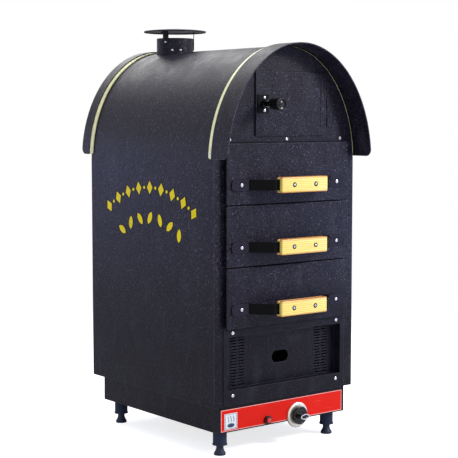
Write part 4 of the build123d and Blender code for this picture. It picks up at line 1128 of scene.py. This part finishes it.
class OVEN_OT_studio(bpy.types.Operator):
    """Set up the pale floor, the soft lamps, the plain sky and the camera"""

    bl_idname = "oven.studio"
    bl_label = "Studio"

    def execute(self, context):
        scene = context.scene
        floor = circle("studio_floor", 96, scene.oven_sizes.floor_wide)
        material, tree, shader = finish("studio_floor")
        shader.inputs["Base Color"].default_value = (*shade(246, 247, 250), 1.0)
        shader.inputs["Roughness"].default_value = 0.8
        shader.inputs[SPECULAR].default_value = 0.1
        clear_view = tree.nodes.new("ShaderNodeBsdfTransparent")
        lift = tree.nodes.new("ShaderNodeEmission")
        lift.inputs["Color"].default_value = (*WHITE, 1.0)
        lifted = tree.nodes.new("ShaderNodeAddShader")
        tree.links.new(shader.outputs["BSDF"], lifted.inputs[0])
        tree.links.new(lift.outputs["Emission"], lifted.inputs[1])
        coords = tree.nodes.new("ShaderNodeTexCoord")
        reach = tree.nodes.new("ShaderNodeVectorMath")
        reach.operation = "LENGTH"
        tree.links.new(coords.outputs["Object"], reach.inputs[0])
        fade = spread(tree, reach.outputs["Value"], 0.0, 1.0, start=1.2, end=2.6)
        path = tree.nodes.new("ShaderNodeLightPath")
        hidden = reckon(tree, "MULTIPLY", fade, path.outputs["Is Camera Ray"])
        lifting = reckon(tree, "MULTIPLY", path.outputs["Is Camera Ray"], 0.75)
        tree.links.new(lifting, lift.inputs["Strength"])
        surface = mixed(tree, hidden, lifted.outputs["Shader"], clear_view.outputs["BSDF"])
        tree.links.new(surface, tree.nodes["Material Output"].inputs["Surface"])
        floor.data.materials.append(material)

        world = bpy.data.worlds.new("studio_sky")
        scene.world = world
        world.use_nodes = True
        sky = world.node_tree
        lit = sky.nodes["Background"]
        lit.inputs["Color"].default_value = (*shade(244, 247, 255), 1.0)
        lit.inputs["Strength"].default_value = 0.38
        shown = sky.nodes.new("ShaderNodeBackground")
        shown.inputs["Color"].default_value = (*WHITE, 1.0)
        shown.inputs["Strength"].default_value = 1.0
        path = sky.nodes.new("ShaderNodeLightPath")
        seen = reckon(sky, "MAXIMUM", path.outputs["Is Camera Ray"], path.outputs["Is Glossy Ray"])
        seen = reckon(sky, "MAXIMUM", seen, path.outputs["Is Transmission Ray"])
        surface = mixed(sky, seen, lit.outputs["Background"], shown.outputs["Background"])
        sky.links.new(surface, sky.nodes["World Output"].inputs["Surface"])

        middle = (0, 0, 0.55)
        lamp("key", (1.7, -2.6, 2.3), middle, 0.8, 88)
        lamp("fill", (-3.0, -1.6, 1.8), middle, 2.2, 11, shade(236, 242, 255))
        lamp("top", (-0.4, 0.3, 3.2), middle, 2.0, 26)
        lamp("roof_sheen", (0.5, 2.4, 2.8), (0, 0, 1.0), 1.9, 36)
        lamp("side_sheen", (-1.1, 1.65, 0.75), (-0.25, 0.2, 0.6), 0.7, 4, shade(170, 180, 255))
        lamp("front_sheen", (1.15, -1.07, 0.55), (0.25, -0.28, 0.6), 0.6, 3.2, shade(140, 170, 255))

        camera_data = bpy.data.cameras.new("photo_view")
        camera = bpy.data.objects.new("photo_view", camera_data)
        scene.collection.objects.link(camera)
        camera.location = (-2.3111, -2.9457, 0.9121)
        camera.rotation_euler = (math.radians(85.03), 0, math.radians(-38.35))
        camera_data.sensor_width = 36
        camera_data.lens = 101.83
        scene.camera = camera
        scene.view_settings.view_transform = "Standard"
        return {"FINISHED"}


STEPS = (
    OVEN_OT_finishes,
    OVEN_OT_casing_screws,
    OVEN_OT_handle_fasteners,
    OVEN_OT_small_fasteners,
    OVEN_OT_grips,
    OVEN_OT_strips,
    OVEN_OT_label_line,
    OVEN_OT_badge_motif,
    OVEN_OT_gas_knob,
    OVEN_OT_door_knob,
    OVEN_OT_side_ornament,
    OVEN_OT_studio,
)


class OVEN_PT_dressing(bpy.types.Panel):
    """Lists the steps that dress the oven, with its colours and sizes"""

    bl_label = "Potato Oven"
    bl_idname = "OVEN_PT_dressing"
    bl_space_type = "VIEW_3D"
    bl_region_type = "UI"
    bl_category = "Potato Oven"

    def draw(self, context):
        for step in STEPS:
            self.layout.operator(step.bl_idname)
        for group in (context.scene.oven_colours, context.scene.oven_sizes):
            box = self.layout.box()
            for key in group.bl_rna.properties.keys():
                if key not in ("rna_type", "name"):
                    box.prop(group, key)


CLASSES = (OvenColours, OvenSizes, *STEPS, OVEN_PT_dressing)


def register():
    """Registers the classes and puts the colours and sizes on the scene."""
    for item in CLASSES:
        bpy.utils.register_class(item)
    bpy.types.Scene.oven_colours = bpy.props.PointerProperty(type=OvenColours)
    bpy.types.Scene.oven_sizes = bpy.props.PointerProperty(type=OvenSizes)


def unregister():
    """Takes the classes and the scene's colours and sizes away."""
    del bpy.types.Scene.oven_sizes
    del bpy.types.Scene.oven_colours
    for item in reversed(CLASSES):
        bpy.utils.unregister_class(item)


def main():
    """Dresses the oven step by step."""
    register()
    for step in STEPS:
        group, call = step.bl_idname.split(".")
        getattr(getattr(bpy.ops, group), call)()
    clear()


if __name__ == "__main__":
    main()
